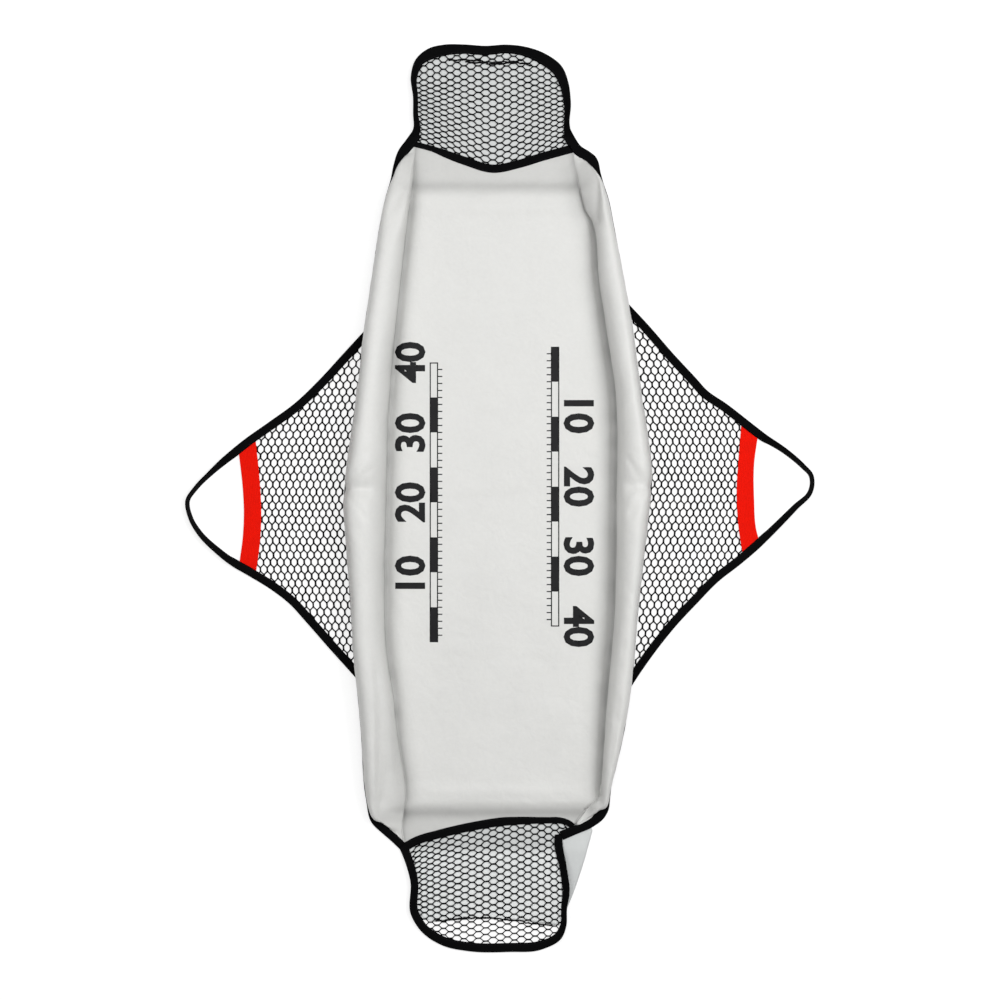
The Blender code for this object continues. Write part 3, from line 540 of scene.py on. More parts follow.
def foam(name, colour):
    look, tree, place, mottle = mottled_look(name, colour, 0.9, shine=0.2, patch=20.0, strength=0.05)
    cells = add(tree, "TexVoronoi", {"Vector": place["Object"], "Scale": 900.0})
    return wired(look, mottle["Colour"], mottle, (cells.outputs["Distance"], 0.0003))


grey_sheet = coated_sheet("coated_grey_sheet", (0.75, 0.75, 0.73), 0.46)
grey_base = coated_sheet("coated_grey_base", (0.89, 0.915, 0.91), 0.5)
black_tape = woven_tape("black_tape", (0.002, 0.002, 0.0023), 0.72, 520.0, 1100.0, 0.0, 0.00012)
red_webbing = woven_tape("red_webbing", (0.88, 0.008, 0.002), 0.62, 380.0, 420.0, 1.0, 0.0002, 0.06)
black_net = yarn("black_net", (0.0045, 0.0045, 0.005), 0.62)
black_thread = yarn("black_thread", (0.010, 0.010, 0.011), 0.5)
white_foam = foam("white_foam", (0.78, 0.78, 0.76))
print("materials:", ", ".join(sorted(look.name for look in bpy.data.materials)))


def finished(piece, look, body=None):
    """Gives the piece its look and its slot, and the body that it rides on where one is given."""
    piece.data.materials.append(look)
    if body:
        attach(piece, body)
    print(f"{piece.name}: {len(piece.data.polygons)} faces")
    return piece


# %% [markdown]
# ## The bed's outline
#
# Four lines carry the bed: the fold of the tape down each side, and the crease on each side where the
# flat floor turns up into the wall. Two seams close the liner at its ends, a shallow V at the head and
# a low arch at the tail. All the sheets and tapes start from these lines, so they meet.

# %% Edges, creases and end seams
LEFT, RIGHT = -1, 1
names = {LEFT: "left", RIGHT: "right"}
edges = {
    LEFT: flowing(from_photo([
        (413, 130.5), (406, 140.1), (398.1, 151.2), (393.8, 164.1), (390.6, 179.9), (384.8, 199.8),
        (379.2, 227.9), (371, 283.2), (363.8, 331.1), (358.1, 383.8), (349.4, 448), (343.9, 499.9),
        (346.9, 550.2), (353.2, 648), (361, 734), (366.1, 799.9), (371.3, 822.1), (383, 833.8), (392, 841.6),
        (399.5, 848.8),
    ])),
    RIGHT: flowing(from_photo([
        (571, 130.5), (576, 139.5), (580.2, 145.6), (589.6, 151.8), (596, 157.2), (598.8, 163.3),
        (600.2, 171), (602.8, 181), (608.8, 199.8), (613.8, 224.9), (620.9, 262.2), (628.4, 303.1),
        (641.8, 397.1), (651.8, 484.9), (648.4, 519), (638.7, 606), (631.4, 687.2), (623.8, 734),
        (615.6, 770), (611.2, 788), (609.9, 800), (608.8, 809), (604.5, 817.4), (592.5, 827), (577, 833.8),
        (563, 839.8),
    ])),
}
creases = {
    LEFT: flowing(from_photo([
        (416, 145.2), (414.7, 159), (413.5, 178), (411, 197.4), (406.6, 240), (400.7, 295), (395, 349.2),
        (390, 420), (388, 499.9), (386.3, 580), (387.5, 644.8), (394, 690), (400.6, 747.1), (406.8, 786),
        (407, 797), (405, 811.5), (403.1, 827.4), (405, 844.5),
    ])),
    RIGHT: flowing(from_photo([
        (571.8, 149), (573.3, 160), (576.3, 175.7), (581.4, 199.3), (585, 211.4), (591, 222), (594.8, 238),
        (596.8, 272.1), (604.9, 331.1), (613, 384.9), (614.6, 499.9), (612.5, 620), (605.7, 698),
        (602.8, 747.1), (600.4, 781), (598.6, 797), (591, 804.6), (584, 812), (575.8, 822.5),
    ])),
}
head_seam = flowing(from_photo([
    (410.5, 140.6), (418, 142.3), (441, 148.6), (465.9, 157), (493, 164.7), (518, 160), (541, 153),
    (567.9, 145.6), (576.5, 143.2),
]))
tail_seam = flowing(from_photo([
    (403, 853), (408, 850), (417, 845), (440, 838), (476, 829.9), (500, 826), (526, 824), (548, 823.2),
    (560, 823.4), (567, 825.6), (572.5, 830),
]))
print(f"left edge {run_of(edges[LEFT])[-1]:.3f} m, right edge {run_of(edges[RIGHT])[-1]:.3f} m")

# %% [markdown]
# ## The liner
#
# One grey sheet covers the floor and both walls. Down each side it starts flat in the tape, turns up
# at a seam, leans out past it, rolls over the foam and comes down to the crease. A grid of rows from
# head to tail follows that section. Tables give the wall's height and lean along the mat, and a
# smooth curve across each row gives the round roll. Then the sheet is marked: the floor dips beside the
# creases and steps down at the pad's ends, the walls are nipped in the middle, and folds and soft
# waves lie where the photograph shows them.

# %% The wall's tables
# The seam lies HEM inward, or HEM_ROOM of the way to the crease where that is less. From there the wall
# leans back out to its widest line, but in by no more than TUCK_ROOM of the way. UNDERCUT is a place on
# the way up to that line, as shares across and up. Near the ends, for SEAM_REACH of the mat's length,
# the floor's rows follow the slanted seams. PAD_STEPS are the pixel rows over which the pad begins.
LINER_ROWS = 300
HEM_COLUMNS = 3
WALL_COLUMNS = 34
FLOOR_COLUMNS = 52
SHEET = 0.0008
HEM_TOP = 0.0028
FLOOR_TOP = 0.0082
WALL_HEIGHT = 0.060
HEM = 0.016
HEM_INSET = 0.0045
HEM_ROOM = 0.6
BULGE_INSET = 0.0012
TUCK_ROOM = 0.1
UNDERCUT = 0.55, 0.15
DIP = 0.0052
DIP_SHARE = 0.095
NIP_DEPTH = 0.006
NIP_LENGTH = 0.018
NIP_SHARE = 0.49
SEAM_REACH = 0.25
PAD_STEPS = (197, 183), (800, 814)
hems = {LEFT: (0.021, 0.993), RIGHT: (0.026, 0.975)}

rows = np.linspace(0, 1, LINER_ROWS)
height = table([
    (0, 0), (0.007, 0.002), (0.016, 0.09), (0.032, 0.24), (0.050, 0.35), (0.072, 0.46), (0.105, 0.57),
    (0.210, 0.76), (0.350, 0.92), (0.500, 1), (0.630, 0.95), (0.770, 0.83), (0.895, 0.60), (0.930, 0.45),
    (0.955, 0.28), (0.973, 0.12), (0.984, 0.025), (0.992, 0.002), (1, 0),
], rows)
lean = {
    LEFT: table([
        (0, -0.05), (0.014, 0.19), (0.033, 0.60), (0.048, 0.80), (0.064, 0.95), (0.078, 1), (0.900, 1),
        (0.925, 0.97), (0.953, 0.62), (0.976, 0.22), (1, 0.05),
    ], rows),
    RIGHT: table([
        (0, 0.10), (0.024, 0.10), (0.034, 0.22), (0.046, 0.66), (0.058, 0.94), (0.075, 1), (0.905, 1),
        (0.930, 0.95), (0.944, 0.75), (0.957, 0.20), (0.972, 0.10), (0.985, 0.1), (1, 0.1),
    ], rows),
}
pad_lift = table([(0, 0), (0.053, 0), (0.069, 1), (0.938, 1), (0.956, 0), (1, 0)], rows)
nip = bell((rows - NIP_SHARE) * run_of(edges[LEFT])[-1], NIP_LENGTH)
floor_level = HEM_TOP + (FLOOR_TOP - HEM_TOP) * pad_lift
print(f"walls up to {(height * WALL_HEIGHT).max() * 1000:.0f} mm")


# %% The roll, a ledge and a groove
ROUND = np.array([
    (1, 0.45), (0.965, 0.72), (0.87, 0.93), (0.72, 1), (0.52, 0.955), (0.33, 0.84), (0.17, 0.645),
    (0.06, 0.38),
])
LEDGE = np.array([
    (1, 0.45), (0.975, 0.75), (0.92, 0.92), (0.78, 1), (0.52, 0.985), (0.27, 0.93), (0.11, 0.80),
    (0.03, 0.50),
])
none = np.zeros(LINER_ROWS)
ledge = {LEFT: table([(0, 1), (0.09, 1), (0.16, 0), (1, 0)], rows), RIGHT: none}
grooved = {
    LEFT: table([(0, 0), (0.76, 0), (0.86, 0.6), (0.92, 1), (1, 1)], rows),
    RIGHT: table([(0, 1), (0.09, 1), (0.135, 0), (1, 0)], rows),
}
groove = {
    LEFT: table([
        (0, 0.4), (0.80, 0.40), (0.85, 0.44), (0.908, 0.53), (0.932, 0.67), (0.953, 0.80), (1, 0.85),
    ], rows),
    RIGHT: table([
        (0, 0.88), (0.039, 0.88), (0.074, 0.645), (0.092, 0.50), (0.110, 0.28), (0.134, 0.10), (1, 0.1),
    ], rows),
}


def roll_lines(side):
    """Shares across and up for the eight lines round the roll, in each row.

    The plain roll's inner side is a quarter of an ellipse. A ledge is flat up to the crease and drops
    there. A groove lies at a given share: a narrow ridge stands outside it, and a plane slopes up to it.
    """
    g = groove[side]
    foot = np.minimum(1.1 * g, 0.92)
    across = np.stack([*(1 - (1 - g) * part for part in (0, 0.08, 0.25, 0.5, 0.8, 1)), g * 0.55, g * 0.12])
    ridge = [none + part for part in (0.45, 0.74, 0.95, 1)]
    up = np.stack([*ridge, foot + (1 - foot) * 0.55, foot, foot * 0.55, foot * 0.12])
    shares = []
    for place, cut in enumerate((across, up)):
        plain, flat = ROUND[:, place, None], LEDGE[:, place, None]
        shares.append(plain + (cut - plain) * grooved[side] + (flat - plain) * ledge[side])
    return shares


# %% The wall's section
def wall_lines(side):
    """One wall's key lines from hem to crease: edge, seam, undercut, eight round the roll, crease."""
    first, last = hems[side]
    line = at_shares(edges[side], first + (last - first) * rows)
    inward = left_steps(line) * -side
    hem = line + inward * HEM_INSET
    crease = at_shares(creases[side], rows)
    room = np.linalg.norm(crease - hem, axis=1)
    seam = line + inward * np.minimum(HEM, HEM_INSET + HEM_ROOM * room)[:, None]
    overhang = -unit(inward) * np.maximum(lean[side] * (HEM - BULGE_INSET), -TUCK_ROOM * room)[:, None]
    widest = seam + overhang
    rise = height * (WALL_HEIGHT - NIP_DEPTH * nip)
    flat = np.full(LINER_ROWS, HEM_TOP)
    lines = [(hem, flat), (seam, flat), (seam + overhang * UNDERCUT[0], HEM_TOP + rise * UNDERCUT[1])]
    for across, up in zip(*roll_lines(side)):
        plan = crease + (widest - crease) * across[:, None]
        lines.append((plan, floor_level + (HEM_TOP - floor_level) * across + rise * up))
    lines.append((crease, floor_level - DIP * pad_lift))
    return [np.column_stack(pair) for pair in lines]


def over_pad(y, head, tail):
    """1 over the pad and 0 beyond its ends: it eases from the first to the second pixel row of each pair."""
    (head_in, head_out), (tail_in, tail_out) = up_page(head), up_page(tail)
    return ease((head_out - y) / (head_out - head_in)) * ease((y - tail_out) / (tail_in - tail_out))


def floor_line(share):
    """A line down the floor. Its two ends bend to meet the slanted seams, and it dips near the creases."""
    left, right = at_shares(creases[LEFT], rows), at_shares(creases[RIGHT], rows)
    plan = left + (right - left) * share
    for seam, inset, end, place in ((head_seam, -HEM_INSET, 0, rows), (tail_seam, HEM_INSET, -1, 1 - rows)):
        seam_edge = beside(seam, inset)
        gap = np.interp(plan[end, 0], seam_edge[:, 0], seam_edge[:, 1]) - plan[end, 1]
        plan[:, 1] += gap * ease(1 - place / SEAM_REACH)
    padded = over_pad(plan[:, 1], *PAD_STEPS)
    dip = DIP * max(0.0, 1 - min(share, 1 - share) / DIP_SHARE) ** 3
    return np.column_stack([plan, HEM_TOP + (FLOOR_TOP - HEM_TOP) * padded - dip * padded])


def across_rows(keys, stops, counts):
    """A smooth curve across all rows at once, then columns at even distances between each two stops."""
    spacing = np.linalg.norm(np.diff(keys, axis=0), axis=2).mean(axis=1)
    dense = flowing(keys.reshape(len(keys), -1), spacing).reshape(-1, *keys.shape[1:])
    run = sums(np.linalg.norm(np.diff(dense, axis=0), axis=2).mean(axis=1))
    stops = run[np.array(stops) * CURVE_STEPS]
    places = [np.linspace(*span, endpoint=False) for span in zip(stops, stops[1:], counts)]
    where = np.interp(np.concatenate([*places, [run[-1]]]), run, np.arange(len(run)))
    low = np.minimum(where.astype(int), len(run) - 2)
    share = (where - low)[:, None, None]
    return (dense[low] * (1 - share) + dense[low + 1] * share).transpose(1, 0, 2)


FLOOR_SHARES = (0.012, 0.03, 0.06, 0.10, 0.18, 0.30, 0.42, 0.5, 0.58, 0.70, 0.82, 0.90, 0.94, 0.97, 0.988)
left_keys, right_keys = wall_lines(LEFT), wall_lines(RIGHT)[::-1]
keys = np.stack([*left_keys, *(floor_line(share) for share in FLOOR_SHARES), *right_keys])
stops = (0, 1, len(left_keys) - 1, len(keys) - len(right_keys), len(keys) - 2, len(keys) - 1)
counts = (HEM_COLUMNS, WALL_COLUMNS, FLOOR_COLUMNS, WALL_COLUMNS, HEM_COLUMNS)
liner_grid = across_rows(keys, stops, counts)
print("liner grid:", liner_grid.shape)


# %% Marks in the sheet
def normals_of(grid):
    """The upward direction of each grid point, across both of the grid's own directions."""
    down, over = np.gradient(grid, axis=0), np.gradient(grid, axis=1)
    return unit(np.cross(down, over))


def near_line(places, line):
    """Each place's distance in plan to a line of pixels, and where along it, 0 to 1, it comes nearest."""
    line = from_photo(line)
    start, step = line[:-1], np.diff(line, axis=0)
    run = run_of(line)
    flat = places.reshape(-1, 1, 2)
    share = np.clip(((flat - start) * step).sum(axis=2) / (step**2).sum(axis=1), 0, 1)
    away = np.linalg.norm(flat - start - share[..., None] * step, axis=2)
    best = away.argmin(axis=1)
    pick = np.arange(len(best))
    along = (run[best] + share[pick, best] * np.diff(run)[best]) / run[-1]
    return away[pick, best].reshape(places.shape[:-1]), along.reshape(places.shape[:-1])


def fold_mark(places, line, width, depth):
    """A fold along a line: a bell across it, fading out at both ends. A negative depth is a groove."""
    away, along = near_line(places, line)
    return depth * bell(away, width) * np.clip(np.sin(np.clip(along, 0, 1) * math.pi) * 1.6, 0, 1)


# Folds: (line of pixels, width, height), where a negative height is a groove.
FOLDS = (
    ([(340, 489), (374, 489)], 0.0075, -0.0030), ([(348, 487), (378, 466)], 0.0030, -0.0016),
    ([(348, 493), (372, 524)], 0.0030, -0.0016), ([(352, 478), (370, 448)], 0.0040, -0.0009),
    ([(352, 504), (366, 548)], 0.0040, -0.0009),
    ([(376, 640), (381, 700), (381, 760), (378, 815)], 0.0055, -0.0030),
    ([(389, 690), (391, 750), (396, 812)], 0.0050, 0.0018), ([(395, 815), (383, 795)], 0.0040, -0.0014),
    ([(372, 790), (384, 830)], 0.0040, -0.0016), ([(408, 180), (392, 215)], 0.0045, -0.0012),
    ([(374, 250), (392, 262)], 0.0050, -0.0007), ([(366, 330), (386, 338)], 0.0050, -0.0006),
    ([(597.5, 172), (597.6, 200), (596.2, 232)], 0.0035, -0.0014),
    ([(622, 452), (644, 488)], 0.0040, -0.0020), ([(646, 486), (626, 520)], 0.0040, -0.0020),
    ([(655, 487), (622, 487)], 0.0075, -0.0026), ([(597, 806), (571, 824)], 0.0035, -0.0022),
    ([(601, 795), (590, 812)], 0.0035, 0.0014), ([(619, 690), (609, 770)], 0.0050, -0.0012),
    ([(627, 320), (612, 332)], 0.0045, -0.0006), ([(633, 590), (619, 600)], 0.0050, -0.0006),
    ([(416, 206), (500, 207), (584, 206)], 0.0110, 0.0016),
    ([(408, 793), (500, 791), (590, 792)], 0.0100, 0.0014), ([(430, 300), (560, 306)], 0.0060, -0.0003),
    ([(425, 500), (575, 494)], 0.0070, -0.0003), ([(432, 655), (566, 662)], 0.0060, -0.0003),
)

# Waves: (seed, size, height on the floor, how much higher on the walls). The walls gather at their seam.
WAVES = ((3, 0.042, 0.0003, 0.0005), (4, 0.016, 0.0002, 0.0003))
GATHER_HEIGHT, GATHER_PITCH = 0.0005, 0.031

lift = sum(fold_mark(liner_grid[:, :, :2], *fold) for fold in FOLDS)
steps_across = np.linalg.norm(np.diff(liner_grid, axis=1), axis=2)
run_across = np.cumsum(np.pad(steps_across, ((0, 0), (1, 0))), axis=1)
run_down = np.broadcast_to(run_of(edges[LEFT])[-1] * rows[:, None], run_across.shape)
patch = np.stack([run_across, run_down], axis=2)
from_hem = to_end(run_across)
free = ramp(from_hem, 0.012, 0.012) * ramp(to_end(rows), 0, 0.03)[:, None]
on_wall = np.clip(height, 0, 1)[:, None] * (1 - ramp(from_hem, 0.085, 0.03))
for seed, size, low, more in WAVES:
    lift += free * (low + more * on_wall) * soft_noise(seed, patch, size)
gathers = np.sin(run_down * 2 * math.pi / GATHER_PITCH + 2.2 * soft_noise(5, patch, 0.11))
gathers *= 0.5 + 0.5 * soft_noise(6, patch, 0.09)
lift += GATHER_HEIGHT * free * (1 - ramp(from_hem, 0.03, 0.03)) * gathers
liner_grid = liner_grid + normals_of(liner_grid) * lift[:, :, None]
liner_grid[:, :, 2] = np.maximum(liner_grid[:, :, 2], HEM_TOP)
print(f"marks from {lift.min() * 1000:.1f} to {lift.max() * 1000:.1f} mm")

# %% The liner's mesh
def thickened(piece, thickness):
    """Gives the sheet its thickness, all of it below the drawn surface."""
    shell = piece.modifiers.new("thickness", "SOLIDIFY")
    shell.thickness = thickness
    shell.offset = -1.0
    shell.use_quality_normals = True


def marked_darker(piece, shares):
    marks = piece.data.attributes.new("darker", "FLOAT", "POINT")
    marks.data.foreach_set("value", shares.astype(np.float32).ravel())


# The sheet is painted darker where no white pad backs it. It also gets painted shade in a line along each
# crease, in a band on either side of that, and at the pad's two ends, given by their pixel rows.
# The pairs are (share darker, width). A wall lower than 35 mm gets less of its band, down to 0.3 of it.
UNBACKED = 0.17
BACKING = (200, 182), (801, 815)
CREASE_SHADE_LINE = 0.24, 0.0040
SHADED = {"wall": (0.33, 0.028), "left floor": (0.26, 0.014), "right floor": (0.35, 0.020)}
PAD_END_SHADE = ((186, 0.13, 0.007), (813, 0.24, 0.008))
FULL_SHADE_HEIGHT, LEAST_SHADE = 0.035, 0.3

columns = np.arange(liner_grid.shape[1])
middle_column = len(columns) // 2
first_floor = HEM_COLUMNS + WALL_COLUMNS
last_floor = first_floor + FLOOR_COLUMNS
on_floor = (columns >= first_floor) & (columns <= last_floor)
from_creases = (np.abs(run_across - run_across[:, [crease]]) for crease in (first_floor, last_floor))
from_crease = np.minimum(*from_creases)
darker = UNBACKED * (1 - over_pad(liner_grid[:, :, 1], *BACKING)) * on_floor
# Painted shade: a band across the floor at each of the pad's two ends.
for pixel_row, share, width in PAD_END_SHADE:
    darker += share * bell(liner_grid[:, :, 1] - up_page(pixel_row), width) * on_floor
# Painted shade beside each crease: a band on the wall, one on the floor, and a narrow line at the fold itself.
wall, left_floor, right_floor = (np.array(pair)[:, None] for pair in SHADED.values())
share, width = np.where(on_floor, np.where(columns < middle_column, left_floor, right_floor), wall)
crest = liner_grid[:, :, 2].max(axis=1, keepdims=True)
share = share * np.clip(crest / FULL_SHADE_HEIGHT, LEAST_SHADE, 1)
painted_crease_shade = CREASE_SHADE_LINE[0] * bell(from_crease, CREASE_SHADE_LINE[1]) + share * bell(from_crease, width)
darker += painted_crease_shade * (0.85 + 0.15 * soft_noise(8, patch, 0.02))

liner = skin("liner_sheet", liner_grid, run_down, run_across - run_across[:, [middle_column]])
marked_darker(liner, darker)
thickened(liner, SHEET)
finished(liner, grey_sheet, "mat")
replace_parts(liner, "liner")

# %% [markdown]
# ## The base cloth
#
# The outer sheet lies flat on the ground under everything and ends in a tongue under each net, as wide
# as the net. It is ruled between its left and right outlines, and its two tongues are a little wavy
# where nothing but net holds them down. The tail's tongue is the paler one, as in the photograph.

# %% The base cloth
EDGE_INSET = 0.0012
TONGUE_WAVE = 0.00028
left_line = flowing(from_photo([
    (446, 49.5), (431, 53), (420, 62), (415.4, 76), (415.8, 99), (416, 115), (416.5, 130.2)]))
left_bed = beside(edges[LEFT], EDGE_INSET)
left_tail = flowing(from_photo([
    (405, 849), (410, 866), (413.6, 882), (414.5, 899), (417, 911), (425, 918.5), (436, 922)]))
right_line = flowing(from_photo([
    (524, 51), (541, 57.5), (556, 69), (563.6, 86), (566.4, 103.5), (566.6, 118), (566.8, 130.2)]))
right_bed = beside(edges[RIGHT], -EDGE_INSET)
right_bed = right_bed[right_bed[:, 1] > up_page(827)]
right_tail = flowing(from_photo([(593, 829), (583.4, 863.5), (571, 899), (559, 925.5)]))


def levelled(*lines):
    """One outline from head to tail, with its points at even heights on the page."""
    line = np.vstack(lines)
    order = np.concatenate([[True], line[1:, 1] < np.minimum.accumulate(line[:, 1])[:-1]])
    return line[order]


base_left, base_right = levelled(left_line, left_bed, left_tail), levelled(right_line, right_bed, right_tail)
base_plan, down, over = ruled(base_left, base_right, 260, 61)
end_bow = 1.2 * (1 - ramp(down, 0, 0.1)) + 4.5 * ramp(down, 0.9, 0.1)
base_plan[:, :, 1] += np.sin(over * math.pi) * PIXEL * end_bow[:, None]
folds = {name: joints[name + "_flap_fold"]["pos_m"][1] for name in ("head", "tail")}
past_fold = np.maximum(base_plan[:, :, 1] - folds["head"], folds["tail"] - base_plan[:, :, 1])
wave = ramp(past_fold, 0, 0.03) * (0.5 + 0.5 * soft_noise(11, base_plan, 0.045))
base_grid = np.dstack([base_plan, SHEET + TONGUE_WAVE * wave])
base = skin("base_cloth", base_grid, -base_grid[:, :, 1], base_grid[:, :, 0])

# The tail's tongue is pale up to the net's right edge, and the rest of the sheet is darker.
DARKER_BED, DARKER_CORNER = 0.235, 0.285
net_edge = from_photo([(559, 834), (563.5, 866), (566, 893), (563, 926)])[::-1]
tongue = ease((folds["tail"] - base_plan[:, :, 1]) / 0.015)
past_net = base_plan[:, :, 0] - np.interp(base_plan[:, :, 1], net_edge[:, 1], net_edge[:, 0])
marked_darker(base, DARKER_BED * (1 - tongue) + DARKER_CORNER * tongue * ease(past_net / 0.004 + 0.5))
thickened(base, SHEET)
finished(base, grey_base, "mat")
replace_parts(base, "base_sheet")

# %% [markdown]
# ## The foam inside
#
# A thin foam pad lies under the floor, and a foam roll fills each wall. Nobody sees them, but they are
# what gives the sheet its form, so they follow the same rows a little below it.

# %% Pad and rolls
FOAM_BOTTOM = 0.0012
ROLL_INSET, ROLL_FOOT, ROLL_SPAN = 0.0033, 0.0022, (0.105, 0.895)
PAD_INSET, PAD_FOOT, PAD_SPAN = 0.0013, 0.0024, (0.085, 0.91)


def foam_rows(grid, span):
    """Every fourth row of the sheet within a span of its length."""
    return grid[(rows > span[0]) & (rows < span[1])][::4]


def closed_roll(name, rings):
    """Section rings joined along the piece and closed by a strip at each end."""
    lengthwise = np.linalg.norm(rings - rings[:1], axis=2)
    lengthwise = np.column_stack([lengthwise, lengthwise[:, 0]])
    around = np.linspace(0, 0.3, rings.shape[1] + 1)
    piece = skin(name, rings, lengthwise, around, closed=True)
    return finished(piece, white_foam, "mat")


def foam_roll(name, node, span):
    """The inside of one wall: the sheet's own rows, 3 mm below it, with a flat back on the ground."""
    inner = liner_grid - normals_of(liner_grid) * ROLL_INSET
    kept = foam_rows(inner, ROLL_SPAN)[:, span]
    kept[:, :, 2] = np.maximum(kept[:, :, 2], ROLL_FOOT)
    back = np.linspace(kept[:, -1], kept[:, 0], kept.shape[1] + 2, axis=1)[:, 1:-1]
    back[:, :, 2] = FOAM_BOTTOM
    rings = np.concatenate([kept, back], axis=1)
    for end, share in ((0, 0.80), (1, 0.93), (-1, 0.80), (-2, 0.93)):
        centre = rings[end].mean(axis=0)
        centre[2] = FOAM_BOTTOM
        rings[end] = centre + (rings[end] - centre) * share
    piece = closed_roll(name, rings)
    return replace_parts(piece, node)


wall_span = slice(HEM_COLUMNS + 3, first_floor - 2)
count = liner_grid.shape[1]
foam_roll("left_foam_roll", "left_wall_foam", wall_span)
foam_roll("right_foam_roll", "right_wall_foam", slice(count - wall_span.stop, count - wall_span.start))

pad_top = foam_rows(liner_grid, PAD_SPAN)[:, first_floor + 1:last_floor - 1:3]
pad_top[:, :, 2] -= PAD_INSET
pad_top[:, [0, -1], 2] = pad_top[[0, -1], :, 2] = PAD_FOOT
pad_under = pad_top[:, ::-1].copy()
pad_under[:, :, 2] = FOAM_BOTTOM
pad = closed_roll("floor_foam", np.concatenate([pad_top, pad_under], axis=1))
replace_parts(pad, "floor_pad")

# %% [markdown]
# ## Folded tape
#
# Black tape is folded round every edge and sewn through. Its section is a C: two thin legs and a
# rounded fold. The section is carried along the line of the fold. It may narrow, open to take a thicker
# layer, or turn up on its edge, as the tape does round a tight loop. Small stitches run along it.

# %% Tape section
TAPE_WIDTH = 0.012
TAPE_LEG = 0.0006
SLOT = 0.0014
STITCH_PITCH, STITCH_LENGTH = 0.0046, 0.0031
STITCH_WIDTH, STITCH_HEIGHT, STITCH_LIFT = 0.00030, 0.00022, 0.00006
LEG_SHARES = np.array([1, 0.7, 0.35, 0, 0, 0, 0, 0, 0, 0, 0.35, 0.7, 1])
FOLD_ANGLES = np.radians([-90, -90, -90, -90, -60, -30, 0, 30, 60, 90, 90, 90, 90])


def column(value, line):
    return np.broadcast_to(np.asarray(value, float), len(line))[:, None]


def eased_steps(line):
    """Steps to the left of a line that turn no faster than stiff tape does, so its open edge has no kinks."""
    steps = left_steps(line)
    for _ in range(6):
        steps[1:-1] = unit(steps[:-2] + 2 * steps[1:-1] + steps[2:])
    return steps


def tape_places(line, inward, bottom, across, up, turn):
    """Places on the tape, `across` it from its fold and `up` from its foot, after it turns on its edge."""
    cosine, sine = np.cos(turn), np.sin(turn)
    reach = across * cosine + up * sine
    rise = up * cosine - across * sine + TAPE_WIDTH * sine
    steps = eased_steps(line) * inward
    plan = line[:, None, :2] + steps[:, None] * reach[:, :, None]
    return np.dstack([plan, bottom + rise])


def folded_tape(name, line, inward, bottom, slot, turn, width, cuts):
    """The C section along its line of folds. A cut slides an end section onto a line on the ground."""
    bottom, slot, turn, width = (column(value, line) for value in (bottom, slot, turn, width))
    outer, inner = (slot + 2 * TAPE_LEG) / 2, slot / 2
    leg = LEG_SHARES * (width - outer) + outer
    cosines, sines = np.cos(FOLD_ANGLES), np.sin(FOLD_ANGLES)
    across = np.concatenate([leg - outer * cosines, (leg - inner * cosines)[:, ::-1]], axis=1)
    up = np.concatenate([outer + outer * sines, (outer + inner * sines)[:, ::-1]], axis=1)
    rings = tape_places(line, inward, bottom, across, up, turn)
    for end, cut, way in ((0, cuts[0], 1), (-1, cuts[1], -1)):
        if cut is not None:
            point, normal = np.array(cut[0], float), np.array(cut[1], float)
            heading = unit(line[end, :2] - line[end + way, :2])
            away = (point - rings[end, :, :2]) @ normal / (heading @ normal)
            rings[end, :, :2] += away[:, None] * heading
    around = sums(np.linalg.norm(np.diff(rings[len(line) // 2], axis=0), axis=1))
    return skin(name, rings, run_of(line), np.append(around, around[-1] + TAPE_LEG), closed=True)


STITCH = capsule(6, [(-0.5, 0.4), (-0.36, 1), (0.36, 1), (0.5, 0.4)])


def stitches(name, line, inward, bottom, slot, turn, width, ends, margin=0.0022):
    """A row of stitches on top of a tape, a margin in from its open edge."""
    run = run_of(line)
    places = np.arange(ends, run[-1] - ends, STITCH_PITCH)
    given = (np.broadcast_to(value, run.shape) for value in (bottom, slot, turn, width))
    bottom, slot, turn, width = (np.interp(places, run, values)[:, None] for values in given)
    path = at(line, places)
    across, up = width - margin, slot + 2 * TAPE_LEG
    top, onward = (tape_places(path, inward, bottom, across + step, up, turn)[:, 0] for step in (0, 0.001))
    forward = unit(np.gradient(top, axis=0))
    over = unit(onward - top)
    above = np.cross(forward, over)
    above = above * np.sign(above[:, 2:3])
    return many(name, STITCH, top + above * STITCH_LIFT, forward * STITCH_LENGTH, over * STITCH_WIDTH,
                above * STITCH_HEIGHT)


# %% A tape and its stitches
BEND = 0.020
tail_tilt = joints["tail_flap_fold"]["axis"]

# The direction in plan in which each flap or wing leaves the mat.
outs = {
    "head_flap": (0.0, 1.0), "tail_flap": (-tail_tilt[1], tail_tilt[0]),
    "left_wing": (-1.0, 0.0), "right_wing": (1.0, 0.0),
}


def across_fold(piece, body):
    """Bakes the piece's place into its mesh and leaves it on no body. Its fold line and a point 20 mm on are
    worked out, but it doesn't bend.
    """
    joint = joints[body + "_fold"]
    start = Vector(joint["pos_m"])
    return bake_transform(piece, joint["parent"], body, start=start, end=start + Vector((*outs[body], 0)) * BEND)


def sewn_tape(tape_name, sewn_name, nodes, line, inward, bottom, slot=SLOT, turn=0.0, width=TAPE_WIDTH,
              ends=0.006, cuts=(None, None), flap=None):
    """A tape and its stitches. Both ride on the mat, or, given a flap or a wing, are baked in place on no body.
    """
    tape = folded_tape(tape_name, line, inward, bottom, slot, turn, width, cuts)
    sewn = stitches(sewn_name, line, inward, bottom, slot, turn, width, ends)
    for piece, look in ((tape, black_tape), (sewn, black_thread)):
        finished(piece, look, None if flap else "mat")
        if flap:
            across_fold(piece, flap)
    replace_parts(tape, *nodes)


# %% Tape down the long edges and over the end seams
TAPE_BOTTOM = 0.0011

